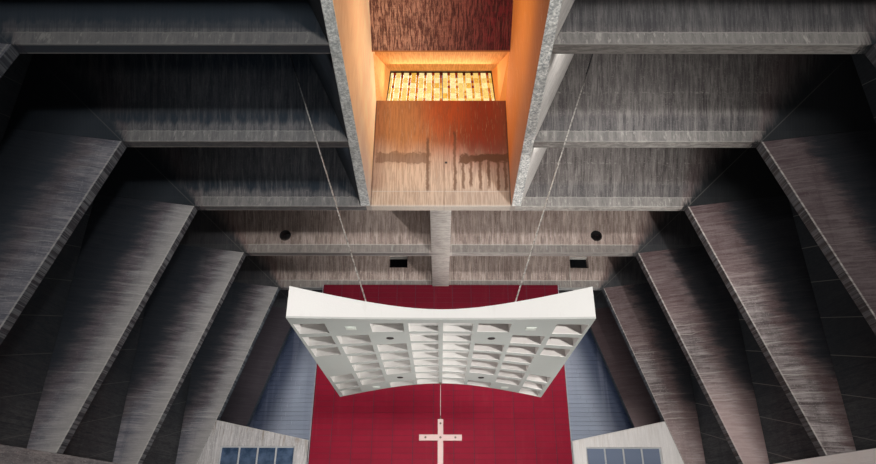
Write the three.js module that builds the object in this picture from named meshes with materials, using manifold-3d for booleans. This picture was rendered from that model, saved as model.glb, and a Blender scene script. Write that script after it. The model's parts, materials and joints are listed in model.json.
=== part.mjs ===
// The chancel end of a modern concrete church, at full size, as a three.js scene graph.
// Millimetres, +Z up. X runs across the nave, Y runs from the open end to the altar wall.
// Z = 0 is the ground.
import * as THREE from "three";
import { ConvexGeometry } from "three/addons/geometries/ConvexGeometry.js";
import { mergeVertices } from "three/addons/utils/BufferGeometryUtils.js";
import Module from "manifold-3d";

const wasm = await Module();
wasm.setup();

// Touching pieces keep this gap.
const GAP = 0.3;

// Frames: deep cross beams on leaning side ribs, seven of them, numbered from the open end.
const FRAME_COUNT = 7;
const SLOTTED_FRAMES = 3;
const BAY = 4490;
const LAST_BAY = 3600;
const FRAME_THICKNESS = 380;
const SOFFIT_Z = 13100;
const MIDDLE_FRAME = 3;
const ROUND_VENT_FRAME = 4;
const PANEL_FRAME = 5;
const MIDDLE_FRAME_Y = -110;
const SOFFIT_HALF_WIDTHS = [12060, 11185, 10350, 9575, 8910, 8400, 8100];
const RIB_LEAN = 0.3238;
const MITRE_RISE = 0.13;

// Side walls: a thick lower part that the ribs stand on, and a thin upper part behind the ribs.
const WALL_INNER_HALF_WIDTH = 13500;
const WALL_TAPER = 0.1566;
const WALL_THICKNESS = 300;
const LOW_WALL_Z = 3970;

// Roof.
const SLAB_BOTTOM_Z = 17070;
const SLAB_THICKNESS = 350;

// End wall and its grey boarding.
const END_WALL_Y = 13660;
const END_WALL_THICKNESS = 300;
const BOARDING_THICKNESS = 60;

// Light slot between the two slot beams, which widens a little towards the altar.
// The outer face of each slot beam leans outwards, so the beam is a wedge under the roof slab.
const SLOT_INNER_NEAR = 2540;
const SLOT_INNER_FAR = 2737;
const SLOT_OUTER_NEAR = 2816;
const SLOT_OUTER_FAR = 3101;
const SLOT_BEAM_LEAN = 0.45;

// Light monitor over the slot.
const MONITOR_BOTTOM_Z = 20690;
const MONITOR_ROOF_THICKNESS = 345;
const UPSTAND_TOP_Z = 18155;
const CEILING_EDGE_Y = -2973;
const CEILING_EDGE_Z = 18597;
const CEILING_THICKNESS = 345;
const CEILING_FALL = 0.5;
const CHEEK_SETBACK = 400;
const GLASS_WALL_Y = 425;
const GLASS_WALL_THICKNESS = 300;
const GLASS_SILL_Z = 18450;
const GLASS_HEAD_Z = 20506;
const GLASS_HALF_WIDTH_SILL = 2460;
const GLASS_HALF_WIDTH_HEAD = 2292;
const COLOURED_GLASS_THICKNESS = 60;

// Short beams on the centre line between the frames behind the slot.
const CENTRE_BEAM_WIDTH = 850;

// Round vents in one frame and square vents in the next.
const ROUND_VENT_X = 7130;
const ROUND_VENT_Z = 13950;
const ROUND_VENT_RADIUS = 250;
const ROUND_VENT_SIDES = 32;
const SQUARE_VENT_WIDTH = 950;
const SQUARE_VENT_HEIGHT = 630;
const SQUARE_VENT_Z = 14530;
const SQUARE_VENT_LEFT_X = -2220;
const SQUARE_VENT_RIGHT_X = 7280;

// Red tiled altar panel in front of its frame.
const PANEL_HALF_WIDTH = 6054;
const PANEL_TOP_Z = 13178;
const PANEL_FRONT_Y = 8303;

// Walls with windows between the panel and the ribs of its frame.
const WINDOW_WALL_END_X = 6120;
const WINDOW_WALL_END_Z = 5533;
const WINDOW_WALL_SLOPE = 0.2028;
const WINDOW_LEFT_X = 6740;
const WINDOW_RIGHT_X = 10212;
const WINDOW_SILL_Z = 3900;
const WINDOW_HEAD_Z = 5260;
const WINDOW_GLASS_THICKNESS = 40;

// Hanging canopy.
const CANOPY_HALF_WIDTH = 3240;
const CANOPY_NEAR_HALF_WIDTH = 3165;
const CANOPY_BOTTOM_Z = 5608;
const CANOPY_MIDDLE_THICKNESS = 222;
const CANOPY_TOP_RISE = 314;
const CANOPY_TOP_BEND = 1380;
const CANOPY_NEAR_Y = -9760;
const CANOPY_NEAR_BOW = 100;
const CANOPY_FAR_Y = -3542;
const CANOPY_FAR_RISE = 1822;
const CANOPY_FAR_BEND = 1725;
const CANOPY_EDGE_STEPS = 24;

// Coffers in the canopy's underside, in four columns a side and eight rows that fan out with the edges.
// A column has its two edges, its depth and the rows that are left blank.
const COFFER_COLUMNS = [
  { inner: 50, outer: 690, depth: 125, blank: [] },
  { inner: 790, outer: 1490, depth: 190, blank: [1, 6] },
  { inner: 1595, outer: 2325, depth: 240, blank: [0, 7] },
  { inner: 2440, outer: 3110, depth: 300, blank: [3, 4] },
];
const COFFER_ROWS = 8;
const COFFER_START_Y = -9430;
const COFFER_START_DRIFT = 28;
const COFFER_RIB = 135;
const COFFER_RIB_GROWTH = 38;
const COFFER_END_MARGIN = 60;
const COFFER_DRAFT = 12;

// Hangers that splay outwards on their way up to the roof slab.
const HANGER_Y = -5535;
const HANGER_FOOT_X = 1576;
const HANGER_LEAN = 0.3455;
const HANGER_RADIUS = 30;
const HANGER_SIDES = 10;

// Plain cross on a wire from the canopy's far edge.
const CROSS_BAR = 155;
const CROSS_DEPTH = 120;
const CROSS_HEIGHT = 1880;
const CROSS_SPAN = 1200;
const CROSS_TOP_Z = 4574;
const CROSS_ARM_TOP_DROP = 424;
const CROSS_Y = -3640;
const WIRE_RADIUS = 9;

const slabTopZ = SLAB_BOTTOM_Z + SLAB_THICKNESS;
const monitorTopZ = MONITOR_BOTTOM_Z + MONITOR_ROOF_THICKNESS;
const endWallOuterY = END_WALL_Y + END_WALL_THICKNESS;
const glassWallBackY = GLASS_WALL_Y + GLASS_WALL_THICKNESS;

// The far face of a frame, which is where its soffit is measured.
function frameFarY(index) {
  const regular = Math.min(index, FRAME_COUNT - 2);
  const extra = index > regular ? LAST_BAY : 0;
  return MIDDLE_FRAME_Y + (regular - MIDDLE_FRAME) * BAY + extra;
}

const openEndY = frameFarY(0) - FRAME_THICKNESS;
const slotEndY = frameFarY(MIDDLE_FRAME) - FRAME_THICKNESS;
const lowWallFlare =
  ((SOFFIT_HALF_WIDTHS[0] - SOFFIT_HALF_WIDTHS[1]) * FRAME_THICKNESS) / BAY;
const panelFrameY = frameFarY(PANEL_FRAME) - FRAME_THICKNESS;

function ribInnerX(index, z) {
  return SOFFIT_HALF_WIDTHS[index] + RIB_LEAN * (SOFFIT_Z - z);
}

function wallInnerX(y) {
  return WALL_INNER_HALF_WIDTH - WALL_TAPER * (y - MIDDLE_FRAME_Y);
}

function alongSlot(near, far, y) {
  return near + ((far - near) * (y - openEndY)) / (slotEndY - openEndY);
}

function slotInnerX(y) {
  return alongSlot(SLOT_INNER_NEAR, SLOT_INNER_FAR, y);
}

function slotOuterX(y) {
  return alongSlot(SLOT_OUTER_NEAR, SLOT_OUTER_FAR, y);
}

// Materials.
function finish(color, roughness, metalness = 0) {
  return { color, roughness, metalness };
}

const CONCRETE = finish(0x96897f, 0.85);
const PALE_CONCRETE = finish(0xc8bfae, 0.85);
const WARM_CONCRETE = finish(0xb98a5e, 0.8);
const GREY_BOARDING = finish(0x8a8f9c, 0.6);
const RED_TILE = finish(0x7d1426, 0.5);
const WHITE_PAINT = finish(0xeceae2, 0.5);
const DARK_GLASS = finish(0x3c4c60, 0.15);
const AMBER_GLASS = finish(0xf0a028, 0.2);
const STEEL = finish(0xb8b8b4, 0.4, 0.8);

const church = new THREE.Group();

function addMesh(name, geometry, look) {
  const mesh = new THREE.Mesh(geometry, new THREE.MeshStandardMaterial(look));
  mesh.name = name;
  church.add(mesh);
  return mesh;
}

function outline(points, holes = []) {
  const shape = new THREE.Shape(points.map(([x, y]) => new THREE.Vector2(x, y)));
  shape.holes = holes;
  return shape;
}

function extrude(shape, depth) {
  return new THREE.ExtrudeGeometry(shape, { depth, bevelEnabled: false, curveSegments: 16 });
}

// A plan outline (X, Y) from one height to another.
function planPrism(points, bottomZ, topZ) {
  return extrude(outline(points), topZ - bottomZ).translate(0, 0, bottomZ);
}

// A cross-section outline (X, Z) that ends at farY.
function crossPrism(points, farY, thickness, holes = []) {
  return extrude(outline(points, holes), thickness)
    .rotateX(Math.PI / 2)
    .translate(0, farY, 0);
}

// A lengthwise outline (Y, Z) centred on X = 0.
function lengthPrism(points, width) {
  const lengthwise = new THREE.Matrix4().makeBasis(
    new THREE.Vector3(0, 1, 0),
    new THREE.Vector3(0, 0, 1),
    new THREE.Vector3(1, 0, 0),
  );
  return extrude(outline(points), width)
    .applyMatrix4(lengthwise)
    .translate(-width / 2, 0, 0);
}

function box(x0, x1, y0, y1, z0, z1) {
  return new THREE.BoxGeometry(x1 - x0, y1 - y0, z1 - z0).translate(
    (x0 + x1) / 2,
    (y0 + y1) / 2,
    (z0 + z1) / 2,
  );
}

function solid(geometry) {
  const bare = geometry.clone();
  bare.deleteAttribute("normal");
  bare.deleteAttribute("uv");
  const merged = mergeVertices(bare, 1e-3);
  return new wasm.Manifold(
    new wasm.Mesh({
      numProp: 3,
      vertProperties: new Float32Array(merged.attributes.position.array),
      triVerts: new Uint32Array(merged.index.array),
    }),
  );
}

function geometryOf(manifold) {
  const mesh = manifold.getMesh();
  const geometry = new THREE.BufferGeometry();
  geometry.setAttribute("position", new THREE.BufferAttribute(mesh.vertProperties, 3));
  geometry.setIndex(new THREE.BufferAttribute(mesh.triVerts, 1));
  const flat = geometry.toNonIndexed();
  flat.computeVertexNormals();
  return flat;
}

// The left side of a piece is its right side mirrored, with its points turned round again.
function sided(points, side) {
  if (side > 0) return points;
  return points.map(([x, y]) => [-x, y]).reverse();
}

const SIDES = [
  ["left", -1],
  ["right", 1],
];

// Everything inside the side walls, which trims the ribs and beams to the tapered plan.
const insideWalls = solid(
  planPrism(
    [
      [-wallInnerX(openEndY) + GAP, openEndY],
      [wallInnerX(openEndY) - GAP, openEndY],
      [wallInnerX(endWallOuterY) - GAP, endWallOuterY],
      [-wallInnerX(endWallOuterY) + GAP, endWallOuterY],
    ],
    0,
    monitorTopZ,
  ),
);

function hull(corners) {
  return new ConvexGeometry(corners.map(([x, y, z]) => new THREE.Vector3(x, y, z)));
}

function slotBeamOuterX(y, z) {
  return slotOuterX(y) + SLOT_BEAM_LEAN * (z - SOFFIT_Z);
}

// The slot and its two beams, which trims the beams of the slotted frames.
function slotVolume() {
  const corners = [];
  for (const y of [openEndY - GAP, slotEndY]) {
    for (const z of [SOFFIT_Z - GAP, SLAB_BOTTOM_Z]) {
      for (const [, side] of SIDES) corners.push([side * (slotBeamOuterX(y, z) + 2 * GAP), y, z]);
    }
  }
  return solid(hull(corners));
}

function addSideWalls() {
  for (const [sideName, side] of SIDES) {
    const upper = planPrism(
      sided(
        [
          [wallInnerX(openEndY), openEndY],
          [wallInnerX(openEndY) + WALL_THICKNESS, openEndY],
          [wallInnerX(endWallOuterY) + WALL_THICKNESS, endWallOuterY],
          [wallInnerX(endWallOuterY), endWallOuterY],
        ],
        side,
      ),
      0,
      SLAB_BOTTOM_Z - GAP,
    );
    const lowerEndY = END_WALL_Y - BOARDING_THICKNESS - 2 * GAP;
    const overlap = WALL_THICKNESS / 2;
    const feet = SOFFIT_HALF_WIDTHS.map((_, index) => [
      ribInnerX(index, LOW_WALL_Z),
      frameFarY(index),
    ]);
    const lower = planPrism(
      sided(
        [
          [feet[0][0] + lowWallFlare, openEndY],
          [wallInnerX(openEndY) + overlap, openEndY],
          [wallInnerX(lowerEndY) + overlap, lowerEndY],
          [feet.at(-1)[0], lowerEndY],
          ...feet.toReversed(),
        ],
        side,
      ),
      0,
      LOW_WALL_Z,
    );
    addMesh(`side_wall_${sideName}`, geometryOf(solid(upper).add(solid(lower))), CONCRETE);
  }
}

// The line where a beam meets its rib rises a little from the soffit's corner to the side wall.
function mitreZ(corner, x) {
  return SOFFIT_Z + MITRE_RISE * (x - corner);
}

function addRibs(index) {
  const farY = frameFarY(index);
  const corner = SOFFIT_HALF_WIDTHS[index];
  const outerX = wallInnerX(farY - FRAME_THICKNESS);
  for (const [sideName, side] of SIDES) {
    const rib = crossPrism(
      sided(
        [
          [corner, SOFFIT_Z - GAP],
          [ribInnerX(index, LOW_WALL_Z + GAP), LOW_WALL_Z + GAP],
          [outerX, LOW_WALL_Z + GAP],
          [outerX, mitreZ(corner, outerX) - GAP],
        ],
        side,
      ),
      farY,
      FRAME_THICKNESS,
    );
    const trimmed = solid(rib).intersect(insideWalls);
    addMesh(`frame_${index}_rib_${sideName}`, geometryOf(trimmed), CONCRETE);
  }
}

function addSlottedBeams(index) {
  const farY = frameFarY(index);
  const corner = SOFFIT_HALF_WIDTHS[index];
  const outerX = wallInnerX(farY - FRAME_THICKNESS);
  for (const [sideName, side] of SIDES) {
    const beam = crossPrism(
      sided(
        [
          [SLOT_INNER_NEAR, SOFFIT_Z],
          [corner, SOFFIT_Z],
          [outerX, mitreZ(corner, outerX)],
          [outerX, SLAB_BOTTOM_Z - GAP],
          [SLOT_INNER_NEAR, SLAB_BOTTOM_Z - GAP],
        ],
        side,
      ),
      farY,
      FRAME_THICKNESS,
    );
    const trimmed = solid(beam).intersect(insideWalls).subtract(slotVolume());
    addMesh(`frame_${index}_beam_${sideName}`, geometryOf(trimmed), CONCRETE);
  }
}

function roundVent(x, farY) {
  return new THREE.CylinderGeometry(
    ROUND_VENT_RADIUS,
    ROUND_VENT_RADIUS,
    2 * FRAME_THICKNESS,
    ROUND_VENT_SIDES,
  ).translate(x, farY - FRAME_THICKNESS / 2, ROUND_VENT_Z);
}

function squareVent(x, farY) {
  return new THREE.BoxGeometry(
    SQUARE_VENT_WIDTH,
    2 * FRAME_THICKNESS,
    SQUARE_VENT_HEIGHT,
  ).translate(x, farY - FRAME_THICKNESS / 2, SQUARE_VENT_Z);
}

function ventsOf(index, farY) {
  if (index === ROUND_VENT_FRAME) return [-ROUND_VENT_X, ROUND_VENT_X].map((x) => roundVent(x, farY));
  if (index === PANEL_FRAME) {
    return [SQUARE_VENT_LEFT_X, SQUARE_VENT_RIGHT_X].map((x) => squareVent(x, farY));
  }
  return [];
}

function addWholeBeam(index) {
  const farY = frameFarY(index);
  const corner = SOFFIT_HALF_WIDTHS[index];
  const outerX = wallInnerX(farY - FRAME_THICKNESS);
  const topZ = SLAB_BOTTOM_Z - GAP;
  const right = [
    [corner, SOFFIT_Z],
    [outerX, mitreZ(corner, outerX)],
    [outerX, topZ],
  ];
  const beam = crossPrism(
    [...right, ...sided(right, -1)],
    farY,
    FRAME_THICKNESS,
  );
  let trimmed = solid(beam).intersect(insideWalls);
  for (const vent of ventsOf(index, farY)) trimmed = trimmed.subtract(solid(vent));
  if (index === MIDDLE_FRAME) {
    const half = slotInnerX(slotEndY) - GAP;
    const upstand = box(-half, half, slotEndY, farY, topZ - GAP, UPSTAND_TOP_Z);
    trimmed = trimmed.add(solid(upstand));
  }
  addMesh(`frame_${index}_beam`, geometryOf(trimmed), CONCRETE);
}

function addFrames() {
  for (let index = 0; index < FRAME_COUNT; index += 1) {
    addRibs(index);
    if (index < SLOTTED_FRAMES) addSlottedBeams(index);
    else addWholeBeam(index);
  }
}

// The second centre beam is notched over the top of the altar panel.
function addCentreBeams() {
  const topZ = SLAB_BOTTOM_Z - GAP;
  for (const index of [MIDDLE_FRAME, ROUND_VENT_FRAME]) {
    const startY = frameFarY(index) + GAP;
    const endY = frameFarY(index + 1) - FRAME_THICKNESS - GAP;
    const footEndY = Math.min(endY, PANEL_FRONT_Y - GAP);
    const footTopZ = footEndY < endY ? PANEL_TOP_Z + GAP : SOFFIT_Z;
    const beam = lengthPrism(
      [
        [startY, SOFFIT_Z],
        [footEndY, SOFFIT_Z],
        [footEndY, footTopZ],
        [endY, footTopZ],
        [endY, topZ],
        [startY, topZ],
      ],
      CENTRE_BEAM_WIDTH,
    );
    addMesh(`centre_beam_${index}`, beam, CONCRETE);
  }
}

function addRoofSlabs() {
  const behindUpstandY = frameFarY(MIDDLE_FRAME) + GAP;
  for (const [sideName, side] of SIDES) {
    const slab = planPrism(
      sided(
        [
          [slotOuterX(openEndY) + GAP, openEndY],
          [wallInnerX(openEndY) + WALL_THICKNESS, openEndY],
          [wallInnerX(endWallOuterY) + WALL_THICKNESS, endWallOuterY],
          [slotOuterX(endWallOuterY) + GAP, endWallOuterY],
        ],
        side,
      ),
      SLAB_BOTTOM_Z,
      slabTopZ,
    );
    addMesh(`roof_slab_${sideName}`, slab, CONCRETE);
  }
  const rear = planPrism(
    [
      [-slotOuterX(behindUpstandY), behindUpstandY],
      [slotOuterX(behindUpstandY), behindUpstandY],
      [slotOuterX(endWallOuterY), endWallOuterY],
      [-slotOuterX(endWallOuterY), endWallOuterY],
    ],
    SLAB_BOTTOM_Z,
    slabTopZ,
  );
  addMesh("roof_slab_rear", rear, CONCRETE);
}

// Each slot beam carries on upwards as the side wall of the light monitor.
function addSlotBeams() {
  for (const [sideName, side] of SIDES) {
    const beamEndY = slotEndY - GAP;
    const wedge = [];
    for (const y of [openEndY, beamEndY]) {
      for (const z of [SOFFIT_Z, SLAB_BOTTOM_Z - GAP]) {
        wedge.push([side * slotInnerX(y), y, z], [side * slotBeamOuterX(y, z), y, z]);
      }
    }
    const neck = planPrism(
      sided(
        [
          [slotInnerX(openEndY), openEndY],
          [slotOuterX(openEndY), openEndY],
          [slotOuterX(beamEndY), beamEndY],
          [slotInnerX(beamEndY), beamEndY],
        ],
        side,
      ),
      SOFFIT_Z,
      slabTopZ + GAP,
    );
    const upper = planPrism(
      sided(
        [
          [slotInnerX(openEndY), openEndY],
          [slotOuterX(openEndY), openEndY],
          [slotOuterX(glassWallBackY), glassWallBackY],
          [slotInnerX(glassWallBackY), glassWallBackY],
        ],
        side,
      ),
      slabTopZ + GAP,
      MONITOR_BOTTOM_Z - GAP,
    );
    const beam = solid(hull(wedge)).add(solid(neck)).add(solid(upper));
    addMesh(`slot_beam_${sideName}`, geometryOf(beam), WARM_CONCRETE);
  }
}

const monitorInside = solid(
  planPrism(
    [
      [-slotInnerX(openEndY) + GAP, openEndY],
      [slotInnerX(openEndY) - GAP, openEndY],
      [slotInnerX(glassWallBackY) - GAP, glassWallBackY],
      [-slotInnerX(glassWallBackY) + GAP, glassWallBackY],
    ],
    0,
    MONITOR_BOTTOM_Z - GAP,
  ),
);

function addMonitorRoof() {
  const roof = planPrism(
    [
      [-slotOuterX(openEndY), openEndY],
      [slotOuterX(openEndY), openEndY],
      [slotOuterX(glassWallBackY), glassWallBackY],
      [-slotOuterX(glassWallBackY), glassWallBackY],
    ],
    MONITOR_BOTTOM_Z,
    monitorTopZ,
  );
  addMesh("monitor_roof", roof, CONCRETE);
}

// The ceiling of the slot falls from the roof to a low edge, then rises again to the glass.
function addSlotCeiling() {
  const topZ = MONITOR_BOTTOM_Z;
  const fallStartY = CEILING_EDGE_Y - (topZ - CEILING_EDGE_Z) / CEILING_FALL;
  const riseStartZ = CEILING_EDGE_Z + CEILING_THICKNESS;
  const riseEndY = GLASS_WALL_Y - GAP;
  const ceiling = lengthPrism(
    [
      [fallStartY, topZ],
      [CEILING_EDGE_Y, CEILING_EDGE_Z],
      [CEILING_EDGE_Y, riseStartZ],
      [riseEndY, GLASS_HEAD_Z],
      [riseEndY, topZ],
      [riseEndY - CEILING_THICKNESS, topZ],
      [CEILING_EDGE_Y, riseStartZ + CEILING_THICKNESS],
      [fallStartY + CEILING_THICKNESS / CEILING_FALL, topZ],
    ],
    2 * SLOT_OUTER_FAR,
  );
  addMesh("slot_ceiling", geometryOf(solid(ceiling).intersect(monitorInside)), WARM_CONCRETE);
}

// The wall that holds the coloured glass, with its two splayed cheeks.
function addGlassWall() {
  const half = slotInnerX(glassWallBackY);
  const opening = new THREE.Path(
    [
      [-GLASS_HALF_WIDTH_SILL, GLASS_SILL_Z],
      [-GLASS_HALF_WIDTH_HEAD, GLASS_HEAD_Z],
      [GLASS_HALF_WIDTH_HEAD, GLASS_HEAD_Z],
      [GLASS_HALF_WIDTH_SILL, GLASS_SILL_Z],
    ].map(([x, z]) => new THREE.Vector2(x, z)),
  );
  const wall = crossPrism(
    [
      [-half, slabTopZ + GAP],
      [half, slabTopZ + GAP],
      [half, MONITOR_BOTTOM_Z - GAP],
      [-half, MONITOR_BOTTOM_Z - GAP],
    ],
    glassWallBackY,
    GLASS_WALL_THICKNESS,
    [opening],
  );
  addMesh("glass_wall", geometryOf(solid(wall).intersect(monitorInside)), WARM_CONCRETE);

  const glassBackY = glassWallBackY - GLASS_WALL_THICKNESS / 2;
  const pane = crossPrism(
    [
      [-GLASS_HALF_WIDTH_SILL + GAP, GLASS_SILL_Z + GAP],
      [GLASS_HALF_WIDTH_SILL - GAP, GLASS_SILL_Z + GAP],
      [GLASS_HALF_WIDTH_HEAD - GAP, GLASS_HEAD_Z - GAP],
      [-GLASS_HALF_WIDTH_HEAD + GAP, GLASS_HEAD_Z - GAP],
    ],
    glassBackY,
    COLOURED_GLASS_THICKNESS,
  );
  addMesh("coloured_glass", pane, AMBER_GLASS);
}

function addCheeks() {
  const startZ = CEILING_EDGE_Z + CEILING_THICKNESS;
  const wallY = GLASS_WALL_Y - GAP;
  const sillZ = UPSTAND_TOP_Z + GAP;
  for (const [sideName, side] of SIDES) {
    const wallX = (y) => side * (slotInnerX(y) - GAP);
    const lowStartY = slotEndY;
    const highStartY = CEILING_EDGE_Y + CHEEK_SETBACK;
    const corners = [
      [wallX(lowStartY), lowStartY, sillZ],
      [wallX(highStartY), highStartY, startZ],
      [wallX(wallY), wallY, sillZ],
      [wallX(wallY), wallY, GLASS_HEAD_Z - GAP],
      [side * GLASS_HALF_WIDTH_SILL, wallY, sillZ],
      [side * GLASS_HALF_WIDTH_HEAD, wallY, GLASS_HEAD_Z - GAP],
    ];
    addMesh(`glass_cheek_${sideName}`, hull(corners), WARM_CONCRETE);
  }
}

function addEndWall() {
  const half = wallInnerX(endWallOuterY) - GAP;
  const wall = box(-half, half, END_WALL_Y, endWallOuterY, 0, SLAB_BOTTOM_Z - GAP);
  addMesh("end_wall", wall, CONCRETE);
  const boardingBackY = END_WALL_Y - GAP;
  const boarding = box(
    -half,
    half,
    boardingBackY - BOARDING_THICKNESS,
    boardingBackY,
    0,
    SLAB_BOTTOM_Z - GAP,
  );
  addMesh("end_wall_boarding", boarding, GREY_BOARDING);
}

function addAltarPanel() {
  const panel = box(
    -PANEL_HALF_WIDTH,
    PANEL_HALF_WIDTH,
    PANEL_FRONT_Y,
    panelFrameY - GAP,
    0,
    PANEL_TOP_Z,
  );
  addMesh("altar_panel", panel, RED_TILE);
}

function addWindowWalls() {
  const farY = frameFarY(PANEL_FRAME);
  const lowX = ribInnerX(PANEL_FRAME, LOW_WALL_Z) - GAP;
  // Where the sloping top meets the leaning edge of the rib.
  const run =
    (ribInnerX(PANEL_FRAME, WINDOW_WALL_END_Z) - GAP - WINDOW_WALL_END_X) /
    (1 + RIB_LEAN * WINDOW_WALL_SLOPE);
  const topX = WINDOW_WALL_END_X + run;
  const topZ = WINDOW_WALL_END_Z + WINDOW_WALL_SLOPE * run;
  for (const [sideName, side] of SIDES) {
    const opening = new THREE.Path(
      sided(
        [
          [WINDOW_LEFT_X, WINDOW_SILL_Z],
          [WINDOW_LEFT_X, WINDOW_HEAD_Z],
          [WINDOW_RIGHT_X, WINDOW_HEAD_Z],
          [WINDOW_RIGHT_X, WINDOW_SILL_Z],
        ],
        side,
      ).map(([x, z]) => new THREE.Vector2(x, z)),
    );
    const wall = crossPrism(
      sided(
        [
          [WINDOW_WALL_END_X, 0],
          [lowX, 0],
          [lowX, LOW_WALL_Z],
          [topX, topZ],
          [WINDOW_WALL_END_X, WINDOW_WALL_END_Z],
        ],
        side,
      ),
      farY,
      FRAME_THICKNESS,
      [opening],
    );
    addMesh(`window_wall_${sideName}`, wall, PALE_CONCRETE);

    const glassBackY = farY - FRAME_THICKNESS / 2;
    const glass = crossPrism(
      sided(
        [
          [WINDOW_LEFT_X + GAP, WINDOW_SILL_Z + GAP],
          [WINDOW_RIGHT_X - GAP, WINDOW_SILL_Z + GAP],
          [WINDOW_RIGHT_X - GAP, WINDOW_HEAD_Z - GAP],
          [WINDOW_LEFT_X + GAP, WINDOW_HEAD_Z - GAP],
        ],
        side,
      ),
      glassBackY,
      WINDOW_GLASS_THICKNESS,
    );
    addMesh(`window_glass_${sideName}`, glass, DARK_GLASS);
  }
}

// A curve that is flat at X = 0 and turns to a straight slope past the bend.
function hyperbola(x, rise, bend) {
  return rise * (Math.sqrt(1 + (x / bend) ** 2) - 1);
}

function canopyTopZ(x) {
  return CANOPY_BOTTOM_Z + CANOPY_MIDDLE_THICKNESS + hyperbola(x, CANOPY_TOP_RISE, CANOPY_TOP_BEND);
}

// Both edges are measured across the canopy; the near one is a little shorter.
function canopyNearY(x) {
  return CANOPY_NEAR_Y + CANOPY_NEAR_BOW * (1 - (x / CANOPY_NEAR_HALF_WIDTH) ** 2);
}

function canopyFarY(x) {
  return CANOPY_FAR_Y + hyperbola(x, CANOPY_FAR_RISE, CANOPY_FAR_BEND);
}

function canopySteps(halfWidth) {
  const steps = [];
  for (let i = 0; i <= CANOPY_EDGE_STEPS; i += 1) {
    steps.push(-halfWidth + (2 * halfWidth * i) / CANOPY_EDGE_STEPS);
  }
  return steps;
}

// The edge between two rows of coffers, at a place across the canopy.
function cofferRowY(row, x) {
  const startY = COFFER_START_Y + COFFER_START_DRIFT * (x / 1000);
  const endY = canopyFarY(x) - COFFER_END_MARGIN + cofferRib(x);
  return startY + ((endY - startY) * row) / COFFER_ROWS;
}

function cofferRib(x) {
  return COFFER_RIB + COFFER_RIB_GROWTH * (x / 1000);
}

// One pocket, a little narrower at its top than at its mouth.
function cofferSolid(column, row, side) {
  const corners = [];
  for (const [z, draft] of [
    [CANOPY_BOTTOM_Z - column.depth / 2, -COFFER_DRAFT / 2],
    [CANOPY_BOTTOM_Z + column.depth, COFFER_DRAFT],
  ]) {
    for (const x of [column.inner + draft, column.outer - draft]) {
      const nearY = cofferRowY(row, x) + draft;
      const farY = cofferRowY(row + 1, x) - cofferRib(x) - draft;
      corners.push([side * x, nearY, z], [side * x, farY, z]);
    }
  }
  return solid(hull(corners));
}

function cofferSolids() {
  const coffers = [];
  for (const column of COFFER_COLUMNS) {
    for (let row = 0; row < COFFER_ROWS; row += 1) {
      if (column.blank.includes(row)) continue;
      for (const [, side] of SIDES) coffers.push(cofferSolid(column, row, side));
    }
  }
  return coffers;
}

function canopySolid() {
  const steps = canopySteps(CANOPY_HALF_WIDTH);
  const plan = [
    ...canopySteps(CANOPY_NEAR_HALF_WIDTH).map((x) => [x, canopyNearY(x)]),
    ...steps.toReversed().map((x) => [x, canopyFarY(x)]),
  ];
  const tallest = canopyTopZ(CANOPY_HALF_WIDTH);
  const section = [
    [-CANOPY_HALF_WIDTH, CANOPY_BOTTOM_Z],
    [CANOPY_HALF_WIDTH, CANOPY_BOTTOM_Z],
    ...steps.toReversed().map((x) => [x, canopyTopZ(x)]),
  ];
  const farthest = canopyFarY(CANOPY_HALF_WIDTH);
  const whole = solid(planPrism(plan, CANOPY_BOTTOM_Z, tallest)).intersect(
    solid(crossPrism(section, farthest, farthest - CANOPY_NEAR_Y)),
  );
  return cofferSolids().reduce((canopy, coffer) => canopy.subtract(coffer), whole);
}

// The flat facet of the canopy's top that a hanger stands on, as its height at a place across the canopy.
function hangerSeatZ(x) {
  const facet = (2 * CANOPY_HALF_WIDTH) / CANOPY_EDGE_STEPS;
  const inner = Math.floor(HANGER_FOOT_X / facet) * facet;
  const slope = (canopyTopZ(inner + facet) - canopyTopZ(inner)) / facet;
  return { slope, z: canopyTopZ(inner) + slope * (x - inner) };
}

// A hanger's rope as a rod. Its ends are cut along the canopy's top and the underside of the roof slab.
function hangerRope(side) {
  const length = Math.hypot(1, HANGER_LEAN);
  const along = { x: HANGER_LEAN / length, z: 1 / length };
  const footZ = hangerSeatZ(HANGER_FOOT_X).z;
  const corners = [];
  for (let i = 0; i < HANGER_SIDES; i += 1) {
    const angle = (2 * Math.PI * i) / HANGER_SIDES;
    const across = HANGER_RADIUS * Math.cos(angle);
    const x = HANGER_FOOT_X + across * along.z;
    const y = HANGER_Y + HANGER_RADIUS * Math.sin(angle);
    const z = footZ - across * along.x;
    const seat = hangerSeatZ(x);
    const down = (seat.z + GAP - z) / (along.z - seat.slope * along.x);
    const up = (SLAB_BOTTOM_Z - GAP - z) / along.z;
    for (const step of [down, up]) {
      corners.push([side * (x + step * along.x), y, z + step * along.z]);
    }
  }
  return hull(corners);
}

function addCanopyAndHangers() {
  addMesh("canopy", geometryOf(canopySolid()), WHITE_PAINT);
  for (const [sideName, side] of SIDES) {
    addMesh(`canopy_hanger_${sideName}`, hangerRope(side), STEEL);
  }
}

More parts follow.
